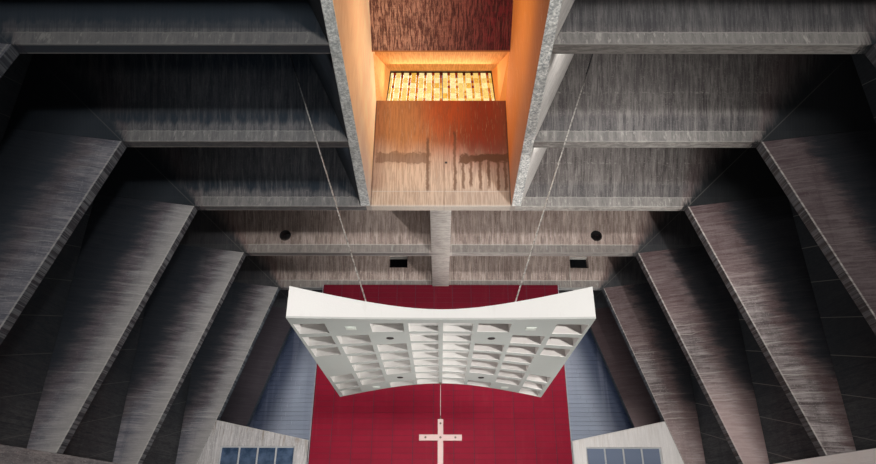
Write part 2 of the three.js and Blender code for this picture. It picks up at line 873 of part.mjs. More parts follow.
function addCross() {
  const half = CROSS_BAR / 2;
  const armTopZ = CROSS_TOP_Z - CROSS_ARM_TOP_DROP;
  const armBottomZ = armTopZ - CROSS_BAR;
  const bottomZ = CROSS_TOP_Z - CROSS_HEIGHT;
  const arm = CROSS_SPAN / 2;
  const right = [
    [half, bottomZ],
    [half, armBottomZ],
    [arm, armBottomZ],
    [arm, armTopZ],
    [half, armTopZ],
    [half, CROSS_TOP_Z],
  ];
  const cross = crossPrism([...right, ...sided(right, -1)], CROSS_Y + CROSS_DEPTH / 2, CROSS_DEPTH);
  addMesh("cross", cross, WHITE_PAINT);

  const wireBottomZ = CROSS_TOP_Z + GAP;
  const wireTopZ = CANOPY_BOTTOM_Z - GAP;
  const wire = new THREE.CylinderGeometry(
    WIRE_RADIUS,
    WIRE_RADIUS,
    wireTopZ - wireBottomZ,
    HANGER_SIDES,
  )
    .rotateX(Math.PI / 2)
    .translate(0, CROSS_Y, (wireTopZ + wireBottomZ) / 2);
  addMesh("cross_wire", wire, STEEL);
}

addSideWalls();
addFrames();
addCentreBeams();
addRoofSlabs();
addSlotBeams();
addMonitorRoof();
addSlotCeiling();
addGlassWall();
addCheeks();
addEndWall();
addAltarPanel();
addWindowWalls();
addCanopyAndHangers();
addCross();

export default church;
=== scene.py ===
"""The chancel end of a modern concrete church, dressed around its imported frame."""

import json
import math
import random

import bmesh
import bpy
from mathutils import Euler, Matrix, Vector

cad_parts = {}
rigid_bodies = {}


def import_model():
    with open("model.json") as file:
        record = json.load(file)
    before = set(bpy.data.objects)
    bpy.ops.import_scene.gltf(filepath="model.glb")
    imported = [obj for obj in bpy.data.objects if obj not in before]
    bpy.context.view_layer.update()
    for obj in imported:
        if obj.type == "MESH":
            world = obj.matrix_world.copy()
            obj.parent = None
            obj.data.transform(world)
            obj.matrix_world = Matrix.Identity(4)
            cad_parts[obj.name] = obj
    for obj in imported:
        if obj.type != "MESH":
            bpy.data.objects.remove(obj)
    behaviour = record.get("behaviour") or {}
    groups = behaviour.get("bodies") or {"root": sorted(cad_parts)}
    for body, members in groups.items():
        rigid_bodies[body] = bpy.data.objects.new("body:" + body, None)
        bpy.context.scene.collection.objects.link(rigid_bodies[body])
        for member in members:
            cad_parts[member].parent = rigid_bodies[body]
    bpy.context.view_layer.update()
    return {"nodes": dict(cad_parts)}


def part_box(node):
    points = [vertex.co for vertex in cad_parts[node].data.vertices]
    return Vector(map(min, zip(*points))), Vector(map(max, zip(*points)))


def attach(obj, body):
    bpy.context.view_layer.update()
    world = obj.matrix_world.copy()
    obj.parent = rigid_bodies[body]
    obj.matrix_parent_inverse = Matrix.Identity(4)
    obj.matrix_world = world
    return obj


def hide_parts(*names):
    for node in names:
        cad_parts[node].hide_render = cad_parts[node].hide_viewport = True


for left_over in list(bpy.data.objects):
    bpy.data.objects.remove(left_over)
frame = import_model()

bl_info = {
    "name": "Chancel End of a Concrete Church",
    "version": (1, 0, 0),
    "blender": (4, 5, 0),
    "location": "3D View > Sidebar > Church",
    "description": "Dresses the packed frame of a church's chancel end",
    "category": "Object",
}

SIDES = (("left", -1), ("right", 1))
ROOT = "root"
VALUE = "NodeSocketFloat"
VECTOR = "NodeSocketVector"


# Places that come from the frame.
def low(node):
    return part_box(node)[0]


def high(node):
    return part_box(node)[1]


SOFFIT_Z = low("frame_1_beam_right").z
SLAB_TOP_Z = high("roof_slab_left").z
FACE_3_Y = low("frame_3_beam").y
BAY = low("frame_4_beam").y - FACE_3_Y

# The ribs' inner edges: how far out they stand at soffit height, and how they lean.
EDGE_MIDDLE, EDGE_TAPER, EDGE_CURVE = 9.575, -0.160, 0.0030
RIB_LEAN = 0.3238

# The ribs' boards are level at one height and at one distance from the middle, and tilt away from there.
TILT_Z, TILT_X, RIB_TILT = 5.0, 9.0, 0.022

# How far out on a rib's face its lower part, painted dark as shade, begins.
FIN_REACH = 2.45

# How much the beams' boards spread, per metre above the soffits.
HALL_FAN, REAR_FAN = 0.0205, 0.0155

# Half the thickness of a frame, and the height of the pour joint on the right beams.
FRAME_HALF_THICKNESS, BEAM_JOINT_Z = 0.19, 15.06

# The window walls' sloped tops: where they start, how high, and their slope.
WINDOW_WALL_X, WINDOW_WALL_Z, WINDOW_WALL_SLOPE = 6.12, 5.533, 0.2028

# The columns of tiles are set off the centre line by this share of a tile.
TILE_SHIFT = 0.35

# Colours, as linear light.
# The colour of painted shade.
PAINTED_SHADE = (0.0025, 0.0075, 0.014, 1.0)
CHALK = (0.52, 0.50, 0.46, 1.0)
BEAM_PALE = (0.40, 0.375, 0.355, 1.0)
BEAM_DARK = (0.105, 0.092, 0.092, 1.0)
# The rear beams' own beige, made paler as painted light on their faces.
REAR_PALE = (0.70, 0.59, 0.53, 1.0)
REAR_DARK = (0.24, 0.175, 0.15, 1.0)
RIB_PALE = (0.42, 0.375, 0.37, 1.0)
RIB_DARK = (0.080, 0.060, 0.062, 1.0)
WINE_PALE = (0.28, 0.10, 0.08, 1.0)
# The brown of the painted half-shade past the beams' corners.
SHADE_BROWN = (0.155, 0.062, 0.058, 1.0)

# The canopy's fan of coffers, as in the frame: where a row starts and how its bars widen.
COFFER_ROWS, COFFER_START_Y, COFFER_DRIFT = 8, -9.430, 0.028
COFFER_BAR, COFFER_BAR_GROWTH, COFFER_MARGIN = 0.135, 0.038, 0.060
CANOPY_FAR_Y, CANOPY_FAR_RISE, CANOPY_FAR_BEND = -3.542, 1.822, 1.725

# What lies nearer than this belongs to the canopy's front.
CANOPY_FRONT_Y = -9.3


class Shader:
    """Short names for the nodes of a shader tree."""

    def __init__(self, tree):
        self.tree = tree

    def node(self, kind, **settings):
        made = self.tree.nodes.new(kind)
        for name, value in settings.items():
            setattr(made, name, value)
        return made

    def feed(self, socket, value):
        if isinstance(value, bpy.types.NodeSocket):
            self.tree.links.new(value, socket)
        else:
            socket.default_value = value

    def math(self, operation, *values):
        made = self.node("ShaderNodeMath", operation=operation)
        for socket, value in zip(made.inputs, values):
            self.feed(socket, value)
        return made.outputs[0]

    def add(self, first, second):
        return self.math("ADD", first, second)

    def less(self, first, second):
        return self.math("SUBTRACT", first, second)

    def times(self, first, second):
        return self.math("MULTIPLY", first, second)

    def most(self, first, second):
        return self.math("MAXIMUM", first, second)

    def size(self, value):
        return self.math("ABSOLUTE", value)

    def over(self, value, limit):
        return self.math("GREATER_THAN", value, limit)

    def linear(self, value, slope, start):
        return self.math("MULTIPLY_ADD", value, slope, start)

    def divide(self, first, second):
        return self.math("DIVIDE", first, second)

    def floor(self, value):
        return self.math("FLOOR", value)

    def fraction(self, value):
        return self.math("FRACT", value)

    def at_least(self, value, factor, strength):
        """The value, or the factor times the strength where that is more."""
        return self.most(value, self.times(factor, strength))

    def fade(self, value, start, end):
        """Runs smoothly from 0 at start to 1 at end."""
        made = self.node("ShaderNodeMapRange", interpolation_type="SMOOTHSTEP")
        self.feed(made.inputs["Value"], value)
        made.inputs["From Min"].default_value = min(start, end)
        made.inputs["From Max"].default_value = max(start, end)
        made.inputs["To Min"].default_value = 0.0 if start < end else 1.0
        made.inputs["To Max"].default_value = 1.0 if start < end else 0.0
        return made.outputs["Result"]

    def line(self, value, place, half_width):
        """A soft line of value 1 at one place."""
        return self.fade(self.size(self.less(value, place)), half_width, half_width * 0.3)

    def lines(self, value, half_width):
        """A soft line in the middle of each whole step of a value."""
        return self.line(self.less(self.fraction(value), 0.5), 0.0, half_width)

    def between(self, value, start, end, soft):
        """Is 1 from start to end, with soft ends."""
        rise = self.fade(value, start - soft, start + soft)
        return self.times(rise, self.fade(value, end + soft, end - soft))

    def mix(self, factor, first, second):
        made = self.node("ShaderNodeMix", data_type="RGBA")
        self.feed(made.inputs[0], factor)
        self.feed(made.inputs[6], first)
        self.feed(made.inputs[7], second)
        return made.outputs[2]

    def coat(self, colour, tone, factor, strength):
        """Lays a tone over a colour, as much as the factor times the strength."""
        return self.mix(self.times(factor, strength), colour, tone)

    def choose(self, factor, first, second):
        """Mixes two vectors."""
        made = self.node("ShaderNodeMix", data_type="VECTOR")
        self.feed(made.inputs[0], factor)
        self.feed(made.inputs[4], first)
        self.feed(made.inputs[5], second)
        return made.outputs[1]

    def combine(self, x, y, z):
        made = self.node("ShaderNodeCombineXYZ")
        for socket, value in zip(made.inputs, (x, y, z)):
            self.feed(socket, value)
        return made.outputs[0]

    def separate(self, vector):
        made = self.node("ShaderNodeSeparateXYZ")
        self.feed(made.inputs[0], vector)
        return made.outputs

    def stretch(self, vector, scale):
        made = self.node("ShaderNodeVectorMath", operation="MULTIPLY")
        self.feed(made.inputs[0], vector)
        made.inputs[1].default_value = scale
        return made.outputs[0]

    def noise(self, vector, scale, detail=3.0, roughness=0.55):
        made = self.node("ShaderNodeTexNoise")
        self.feed(made.inputs["Vector"], vector)
        made.inputs["Scale"].default_value = scale
        made.inputs["Detail"].default_value = detail
        made.inputs["Roughness"].default_value = roughness
        return made.outputs["Fac"]

    def streaks(self, vector, scales, scale, detail=3.0, roughness=0.55):
        """Noise that is drawn out along the axes whose own scale is small."""
        return self.noise(self.stretch(vector, scales), scale, detail, roughness)

    def random(self, x, y, z=0.0):
        made = self.node("ShaderNodeTexWhiteNoise", noise_dimensions="3D")
        self.feed(made.inputs["Vector"], self.combine(x, y, z))
        return made.outputs["Value"]

    def group(self, name, **values):
        made = self.node("ShaderNodeGroup", node_tree=bpy.data.node_groups[name])
        for socket, value in values.items():
            self.feed(made.inputs[socket.replace("_", " ")], value)
        return made.outputs


def shader_group(name, inputs, outputs):
    """A node group with named inputs and outputs."""
    tree = bpy.data.node_groups.new(name, "ShaderNodeTree")
    for title, value in inputs:
        kind = VALUE if isinstance(value, float) else VECTOR
        socket = tree.interface.new_socket(title, in_out="INPUT", socket_type=kind)
        socket.default_value = value
    for title, kind in outputs:
        tree.interface.new_socket(title, in_out="OUTPUT", socket_type=kind)
    shader = Shader(tree)
    entry = shader.node("NodeGroupInput").outputs
    leave = shader.node("NodeGroupOutput").inputs
    return shader, entry, leave


def board_rise(shader, x, z):
    """How far the ribs' boards are off level, for a tilt of 1."""
    return shader.times(shader.less(z, TILT_Z), shader.less(shader.size(x), TILT_X))


def make_board_space():
    """Turns a place on a surface into a place across and along its boards."""
    shader, entry, leave = shader_group(
        "board_space",
        [("Position", (0.0, 0.0, 0.0)), ("Normal", (0.0, 0.0, 1.0)), ("Upright", 1.0), ("Tilt", 0.0)],
        [("Vector", VECTOR)],
    )
    x, y, z = shader.separate(entry["Position"])
    facing = shader.separate(entry["Normal"])
    level = shader.over(shader.size(facing[2]), 0.7)
    front = shader.over(shader.size(facing[1]), 0.6)
    tilted = shader.less(z, shader.times(board_rise(shader, x, z), entry["Tilt"]))
    on_front = shader.choose(entry["Upright"], shader.combine(tilted, x, y), shader.combine(x, z, y))
    on_side = shader.choose(entry["Upright"], shader.combine(z, y, x), shader.combine(y, z, x))
    on_wall = shader.choose(front, on_side, on_front)
    shader.feed(leave["Vector"], shader.choose(level, on_wall, shader.combine(y, x, z)))


def make_board_marks():
    """The print that rough boards leave in cast concrete."""
    shader, entry, leave = shader_group(
        "board_marks",
        [("Vector", (0.0, 0.0, 0.0)), ("Board Width", 0.1), ("Board Length", 2.6)],
        [(title, VALUE) for title in ("Tone", "Grain", "Streak", "Groove", "Seam", "Height")],
    )
    across, along, _ = shader.separate(entry["Vector"])
    place = shader.divide(across, entry["Board Width"])
    board = shader.floor(place)
    own = shader.random(board, 3.0)
    run = shader.add(shader.divide(along, entry["Board Length"]), own)
    tone = shader.random(board, shader.floor(run), 7.0)
    edge = shader.size(shader.less(shader.fraction(place), 0.5))
    seam = shader.fade(edge, 0.40, 0.5)
    fine = shader.streaks(entry["Vector"], (1.0, 0.05, 1.0), 22.0, 4.0, 0.75)
    broad = shader.streaks(entry["Vector"], (1.0, 0.14, 1.0), 5.0, 3.0)
    streak = shader.streaks(entry["Vector"], (1.0, 0.06, 1.0), 15.0, 5.0, 0.78)
    grain = shader.add(shader.times(fine, 0.72), shader.times(broad, 0.28))
    shader.feed(leave["Tone"], tone)
    shader.feed(leave["Grain"], shader.fade(grain, 0.40, 0.61))
    shader.feed(leave["Streak"], shader.fade(streak, 0.55, 0.66))
    shader.feed(leave["Groove"], shader.fade(streak, 0.46, 0.36))
    shader.feed(leave["Seam"], shader.times(seam, shader.fade(own, 0.25, 0.75)))
    lift = shader.linear(tone, 0.35, shader.times(fine, 0.5))
    shader.feed(leave["Height"], shader.less(lift, shader.times(seam, 0.5)))


def make_weathering():
    """Blotches, fine specks and runs of damp, all over the building."""
    shader, entry, leave = shader_group(
        "weathering",
        [("Position", (0.0, 0.0, 0.0))],
        [("Blotch", VALUE), ("Speck", VALUE), ("Run", VALUE)],
    )
    shader.feed(leave["Blotch"], shader.fade(shader.noise(entry["Position"], 0.6, 4.0, 0.6), 0.40, 0.62))
    shader.feed(leave["Speck"], shader.fade(shader.noise(entry["Position"], 17.0, 3.0), 0.58, 0.68))
    run = shader.streaks(entry["Position"], (1.0, 1.0, 0.06), 2.4, 4.0, 0.62)
    shader.feed(leave["Run"], shader.fade(run, 0.52, 0.70))


def make_rib_edge():
    """How far a place lies outside the line of the ribs' inner edges."""
    shader, entry, leave = shader_group(
        "rib_edge", [("Position", (0.0, 0.0, 0.0))], [("Outside", VALUE), ("Beyond Corner", VALUE)]
    )
    x, y, z = shader.separate(entry["Position"])
    away = shader.less(y, FACE_3_Y)
    reach = shader.linear(away, EDGE_CURVE, EDGE_TAPER)
    corner = shader.linear(away, reach, EDGE_MIDDLE)
    drop = shader.most(shader.less(SOFFIT_Z, z), 0.0)
    edge = shader.linear(drop, RIB_LEAN, corner)
    shader.feed(leave["Outside"], shader.less(shader.size(x), edge))
    shader.feed(leave["Beyond Corner"], shader.less(shader.size(x), corner))


def material(name, roughness=0.85, metallic=0.0):
    """A new material, its shader helper, and its Principled node's inputs."""
    made = bpy.data.materials.new(name)
    made.use_nodes = True
    made.node_tree.nodes.clear()
    shader = Shader(made.node_tree)
    surface = shader.node("ShaderNodeBsdfPrincipled")
    surface.inputs["Roughness"].default_value = roughness
    surface.inputs["Metallic"].default_value = metallic
    out = shader.node("ShaderNodeOutputMaterial")
    made.node_tree.links.new(surface.outputs[0], out.inputs["Surface"])
    return made, shader, surface.inputs


def place_of(shader):
    return shader.node("ShaderNodeTexCoord").outputs["Object"]


def normal_of(shader):
    return shader.node("ShaderNodeNewGeometry").outputs["True Normal"]


def bump(shader, inputs, height, distance):
    made = shader.node("ShaderNodeBump")
    made.inputs["Distance"].default_value = distance
    shader.feed(made.inputs["Height"], height)
    shader.feed(inputs["Normal"], made.outputs[0])


def complete(made, shader, inputs, colour, height, distance):
    """Feeds a material's colour and its fine relief, and gives the material back."""
    shader.feed(inputs["Base Color"], colour)
    bump(shader, inputs, height, distance)
    return made


def chosen(name):
    """A colour that the user can change."""
    return tuple(getattr(bpy.context.scene.church_colours, name))


def tinted(colour, share):
    return (*(channel * share for channel in colour[:3]), 1.0)


def fan_out(shader, place, share):
    """The beams' boards spread a little towards the top; share is per metre above the soffits."""
    x, y, z = shader.separate(place)
    narrow = shader.linear(shader.less(z, SOFFIT_Z), -share, 1.0)
    return shader.combine(shader.times(x, narrow), y, z)


def concrete(name, pale, dark, marks=None, upright=1.0, tilt=0.0, width=0.105, contrast=1.0, fan=0.0):
    """Board-marked concrete. marks takes the shader, the colour and the place and gives a colour back."""
    made, shader, inputs = material(name)
    place = place_of(shader)
    fanned = fan_out(shader, place, fan) if fan else place
    space = shader.group("board_space", Position=fanned, Normal=normal_of(shader), Upright=upright, Tilt=tilt)
    boards = shader.group("board_marks", Vector=space[0], Board_Width=width)
    weather = shader.group("weathering", Position=place)
    tone = shader.linear(boards["Tone"], 0.36, shader.times(boards["Grain"], 0.64))
    colour = shader.mix(tone, dark, pale)
    colour = shader.coat(colour, dark, weather["Blotch"], 0.40 * contrast)
    colour = shader.coat(colour, tinted(dark, 0.6), weather["Run"], 0.40 * contrast)
    colour = shader.coat(colour, tinted(dark, 0.6), boards["Groove"], 0.60 * contrast)
    colour = shader.coat(colour, tinted(pale, 1.15), boards["Streak"], 0.60 * contrast)
    colour = shader.coat(colour, pale, boards["Seam"], 0.30 * contrast)
    colour = shader.coat(colour, tinted(pale, 1.2), weather["Speck"], 0.35)
    pits = shader.fade(shader.noise(place, 19.0, 3.0, 0.7), 0.60, 0.70)
    colour = shader.coat(colour, tinted(dark, 0.5), pits, 0.45 * contrast)
    if marks:
        colour = marks(shader, colour, place)
    return complete(made, shader, inputs, colour, boards["Height"], 0.006)


def painted_hall_shade(shader, colour, place):
    """Painted shade: the hall darkens towards its open end, and more, with a bluish cast, on the left."""
    x, y, _ = shader.separate(place)
    near = shader.times(shader.fade(y, -1.5, -10.0), shader.fade(y, -13.7, -13.2))
    left = shader.fade(x, 0.4, -0.4)
    colour = shader.coat(colour, PAINTED_SHADE, near, 0.60)
    return shader.coat(colour, (0.02, 0.035, 0.055, 1.0), left, 0.25)


def beam_band(shader, colour, place):
    """What all beams share: soffits with broken wear and painted light and shade, dark and bluish near the
    open end on the left and pale on the right, painted highlights along the soffits' rims and the faces'
    lower edges, a paler band along the bottom and a pour line above it.
    """
    x, y, z = shader.separate(place)
    above = shader.less(z, SOFFIT_Z)
    facing = shader.separate(normal_of(shader))
    under = shader.fade(facing[2], -0.5, -0.8)
    within = shader.times(shader.fraction(shader.divide(shader.less(y, FACE_3_Y), BAY)), BAY)
    within = shader.size(shader.less(within, FRAME_HALF_THICKNESS))
    middle = shader.times(shader.fade(within, 0.16, 0.11), shader.fade(x, 0.6, -0.6))
    near = shader.fade(y, -5.0, -9.0)
    # Painted light and shade on the soffits: dark and bluish near the open end on the left, pale on the
    # right.
    soffit_left = shader.mix(near, tinted(CHALK, 1.0), (0.100, 0.130, 0.150, 1.0))
    soffit = shader.mix(shader.fade(x, -0.6, 0.6), soffit_left, tinted(CHALK, 1.9))
    broken = shader.fade(shader.streaks(place, (0.4, 2.0, 1.0), 6.0, 5.0, 0.75), 0.42, 0.60)
    soffit = shader.coat(soffit, tinted(BEAM_DARK, 1.3), broken, 0.45)
    colour = shader.coat(colour, soffit, under, 0.92)
    # Painted shade in the middle of the soffits on the left.
    colour = shader.coat(colour, PAINTED_SHADE, under, shader.times(middle, 0.42))
    # Painted highlights along the soffits' rims.
    rims = shader.times(under, shader.line(within, 0.16, 0.035))
    colour = shader.coat(colour, tinted(CHALK, 1.5), rims, 0.75)
    band = shader.times(shader.fade(above, 0.41, 0.37), shader.fade(above, 0.0, 0.03))
    colour = shader.coat(colour, tinted(CHALK, 1.3), band, 0.42)
    worn = shader.fade(shader.streaks(place, (1.0, 1.0, 0.30), 4.0, 5.0, 0.75), 0.46, 0.62)
    colour = shader.coat(colour, tinted(BEAM_DARK, 1.2), shader.times(band, worn), 0.34)
    bare = shader.fade(shader.streaks(place, (1.0, 1.0, 0.25), 7.0, 4.0, 0.7), 0.55, 0.66)
    colour = shader.coat(colour, tinted(CHALK, 1.45), shader.times(band, bare), 0.75)
    ragged = shader.times(shader.streaks(place, (3.0, 1.0, 1.0), 3.0), 0.09)
    pour = shader.line(above, shader.add(ragged, 0.35), 0.03)
    colour = shader.coat(colour, tinted(CHALK, 1.15), pour, 0.70)
    # A painted highlight along the faces' lower edges.
    lip = shader.times(shader.line(above, 0.0, 0.035), shader.less(1.0, under))
    return shader.coat(colour, tinted(CHALK, 1.15), lip, 0.8)


def beyond_corner(shader, place):
    """Shade of the beams' outer ends, and the joint line that rises outwards from their lower corners."""
    above = shader.less(shader.separate(place)[2], SOFFIT_Z)
    beyond = shader.group("rib_edge", Position=place)["Beyond Corner"]
    past = shader.linear(above, -1.08, beyond)
    streaks = shader.streaks(place, (3.0, 1.0, 0.2), 2.5, 4.0, 0.7)
    reach = shader.linear(shader.most(above, 0.0), 0.85, 0.35)
    share = shader.divide(shader.add(past, shader.times(shader.less(streaks, 0.5), 0.9)), reach)
    joint = shader.times(shader.line(past, 0.0, 0.035), shader.fade(above, 4.0, 2.0))
    return shader.fade(share, -1.05, -0.10), joint


def hall_beam_marks(shader, colour, place):
    """The beams beside the slot, in painted light and shade: dark above on the left and in the slot beams'
    shadow, darker past the corners and at the open end, lit on the right; with a pour joint on the right.
    """
    colour = beam_band(shader, colour, place)
    x, y, z = shader.separate(place)
    above = shader.less(z, SOFFIT_Z)
    left = shader.fade(x, 0.4, -0.4)
    left_half = shader.fade(x, 0.6, -0.6)
    past_first = shader.fade(y, -8.5, -6.0)
    # Painted shade above the lit band on the left, with a ragged edge.
    fringe = shader.streaks(place, (2.2, 1.0, 0.10), 2.0, 4.0, 0.65)
    dusk = shader.fade(shader.less(above, shader.times(fringe, 0.75)), -0.06, 0.50)
    # Painted shade above the band, more at the open end, and over the lower part of the further beams.
    near = shader.fade(y, -1.5, -10.0)
    rightward = shader.times(shader.fade(above, 0.38, 0.75), shader.linear(near, 0.30, 0.08))
    foot = shader.linear(shader.fade(above, 1.25, 0.85), 0.42, 0.06)
    rightward = shader.at_least(rightward, foot, past_first)
    # The painted shadow of the slot beams beside the slot.
    inner = shader.less(shader.size(x), 2.9)
    shaft = shader.fade(shader.less(above, shader.times(inner, 0.735)), -0.12, 0.14)
    open_air = shader.over(inner, 0.0)
    leftward = shader.most(shader.times(dusk, 0.90), shader.times(shaft, 0.95))
    # Less painted shade at middle heights on the further beams.
    lifted = shader.times(shader.between(above, 1.25, 2.9, 0.35), past_first)
    leftward = shader.times(leftward, shader.linear(lifted, -0.36, 1.0))
    shade = shader.most(shader.times(leftward, left), rightward)
    # Streaks that break up the painted shade.
    runs = shader.streaks(fan_out(shader, place, HALL_FAN), (1.0, 1.0, 0.07), 5.0, 5.0, 0.75)
    runs = shader.fade(runs, 0.42, 0.66)
    shade = shader.times(shade, shader.linear(runs, -0.40, 1.14))
    # More painted shade at the open end on the left.
    near_left = shader.times(shader.fade(y, -6.0, -8.5), left_half)
    near_shade = shader.linear(shader.fade(above, 0.4, 1.0), 0.68, 0.30)
    shade = shader.at_least(shade, near_left, near_shade)
    dim = shader.times(shader.fade(y, -8.5, -9.3), left_half)
    shade = shader.at_least(shade, shader.times(dim, shader.fade(above, 0.42, 0.6)), 0.72)
    # Painted shade past the corners, darkest far out.
    beyond, corner_joint = beyond_corner(shader, place)
    beyond = shader.times(beyond, 0.985)
    shade = shader.most(shade, beyond)
    joint = shader.times(shader.line(z, BEAM_JOINT_Z, 0.06), shader.fade(x, 2.0, 4.0))
    crumbs = shader.fade(shader.noise(place, 9.0, 4.0, 0.7), 0.50, 0.66)
    colour = shader.coat(colour, CHALK, shader.times(joint, crumbs), 0.75)
    # The painted half-shade past the corners is brown, and the painted shade bluish black.
    colour = shader.coat(colour, SHADE_BROWN, shader.between(beyond, 0.15, 0.85, 0.25), 0.35)
    colour = shader.mix(shade, colour, shader.mix(beyond, PAINTED_SHADE, tinted(PAINTED_SHADE, 0.4)))
    colour = shader.coat(colour, tinted(CHALK, 0.25), corner_joint, 0.40)
    colour = painted_hall_shade(shader, colour, place)
    return slot_face(shader, colour, place, open_air)


STAIN = (0.10, 0.045, 0.02, 1.0)
# Stains on the slot's end face. A band has its left, right, bottom, top and strength.
STAIN_BANDS = ((-2.62, -0.42, 15.05, 15.55, 0.58), (0.82, 2.70, 15.10, 15.50, 0.90))
# A run has its middle, bottom and top.
STAIN_RUNS = (
    (-0.52, 13.78, 16.30), (0.56, 13.80, 16.65), (0.90, 13.85, 15.2), (1.20, 13.95, 15.2),
    (1.58, 13.82, 15.2), (1.90, 13.90, 15.2), (2.29, 13.82, 15.2), (2.58, 13.84, 15.3),
)


def slot_face(shader, colour, place, outside):
    """The end face of the light slot: red-brown at the top, warm beige below, with old water stains, painted
    shade in its corners and its hole, and a painted highlight along its lower edge.
    """
    x, _, z = shader.separate(place)
    grain = shader.streaks(place, (1.0, 1.0, 0.05), 20.0, 4.0, 0.7)
    broad = shader.streaks(place, (1.0, 1.0, 0.3), 0.9, 3.0)
    height = shader.add(z, shader.times(shader.less(broad, 0.5), 1.6))
    right = shader.fade(x, -1.9, 1.6)
    height = shader.add(height, shader.times(right, 0.55))
    upper = shader.mix(right, (0.44, 0.200, 0.072, 1.0), (0.25, 0.035, 0.011, 1.0))
    warm = shader.mix(shader.fade(height, 14.7, 16.5), (0.66, 0.51, 0.375, 1.0), upper)
    centre = shader.fade(shader.size(shader.add(x, -0.2)), 1.5, 0.1)
    hot = shader.times(centre, shader.fade(height, 15.9, 18.0))
    warm = shader.coat(warm, (0.50, 0.085, 0.012, 1.0), hot, 0.6)
    edge = shader.fade(shader.size(x), 1.9, 2.7)
    warm = shader.coat(warm, (0.20, 0.075, 0.04, 1.0), edge, 0.5)
    warm = shader.mix(shader.fade(z, 14.0, 13.7), warm, (0.58, 0.46, 0.35, 1.0))
    warm = shader.coat(warm, tinted(STAIN, 0.9), shader.fade(grain, 0.42, 0.60), 0.42)
    warm = shader.coat(warm, (0.78, 0.50, 0.30, 1.0), shader.fade(grain, 0.56, 0.70), 0.35)
    fray = shader.times(shader.less(shader.noise(place, 3.2, 4.0, 0.6), 0.5), 0.55)
    stain = 0.0
    for start, end, bottom, top, strength in STAIN_BANDS:
        across = shader.between(shader.add(x, fray), start, end, 0.06)
        band = shader.times(across, shader.between(shader.add(z, fray), bottom, top, 0.05))
        stain = shader.at_least(stain, band, strength)
    for middle, bottom, top in STAIN_RUNS:
        run = shader.line(shader.add(x, shader.times(fray, 0.35)), middle, 0.085)
        run = shader.times(run, shader.between(shader.add(z, fray), bottom, top, 0.12))
        stain = shader.at_least(stain, run, 0.75)
    # Greyer towards the bottom, more on the right.
    grey_below = shader.times(shader.fade(z, 16.6, 14.6), shader.linear(right, 0.18, 0.12))
    warm = shader.mix(grey_below, warm, (0.17, 0.18, 0.20, 1.0))
    warm = shader.mix(stain, warm, STAIN)
    warm = shader.coat(warm, CHALK, shader.line(z, 13.755, 0.035), 0.45)
    seam = shader.times(shader.line(x, 0.13, 0.03), shader.fade(z, 16.9, 16.3))
    warm = shader.coat(warm, STAIN, seam, 0.55)
    # The hole is painted dark as the shade inside it.
    hole = shader.times(shader.line(x, 0.21, 0.07), shader.line(z, 15.08, 0.07))
    warm = shader.mix(hole, warm, PAINTED_SHADE)
    # Painted shade in the corners with the slot walls.
    rim = shader.fade(shader.size(x), 2.66, 2.73)
    warm = shader.coat(warm, tinted(STAIN, 0.4), rim, 0.7)
    # A painted highlight along the lower edge.
    lip = shader.fade(z, SOFFIT_Z + 0.10, SOFFIT_Z + 0.02)
    warm = shader.coat(warm, CHALK, lip, 0.5)
    return shader.mix(outside, warm, colour)


def rear_beam_marks(shader, colour, place):
    """The beams past the slot: lit almost to the top, with damp along the bottom band, and painted shade at
    the very top, over the bottom band, past the corners, behind the vents and on the left.
    """
    colour = beam_band(shader, colour, place)
    x, y, z = shader.separate(place)
    above = shader.less(z, SOFFIT_Z)
    drip = shader.fade(shader.streaks(place, (2.5, 1.0, 0.25), 2.2, 4.0), 0.52, 0.64)
    damp = shader.times(drip, shader.between(above, 0.42, 0.85, 0.10))
    colour = shader.coat(colour, tinted(REAR_DARK, 0.5), damp, 0.55)
    # Painted shade at the very top, over the bottom band and over the faces' lower part.
    top = shader.times(shader.fade(above, 2.1, 2.9), 0.92)
    foot = shader.linear(shader.over(shader.size(x), 0.52), 0.18, 0.38)
    band = shader.times(shader.fade(above, 0.42, 0.36), foot)
    band = shader.at_least(band, shader.fade(above, 1.2, 0.7), 0.16)
    beyond, corner_joint = beyond_corner(shader, place)
    shade = shader.most(shader.times(beyond, 0.94), shader.most(top, band))
    # Painted shade behind the vents and on the left.
    shade = shader.at_least(shade, shader.fade(y, 10.5, 11.5), 0.93)
    shade = shader.at_least(shade, shader.fade(x, -0.7, -9.5), 0.45)
    # The painted half-shade past the corners is brown, and the painted shade dark.
    colour = shader.coat(colour, SHADE_BROWN, shader.between(beyond, 0.15, 0.85, 0.25), 0.45)
    colour = shader.mix(shade, colour, PAINTED_SHADE)
    return shader.coat(colour, tinted(CHALK, 0.25), corner_joint, 0.40)


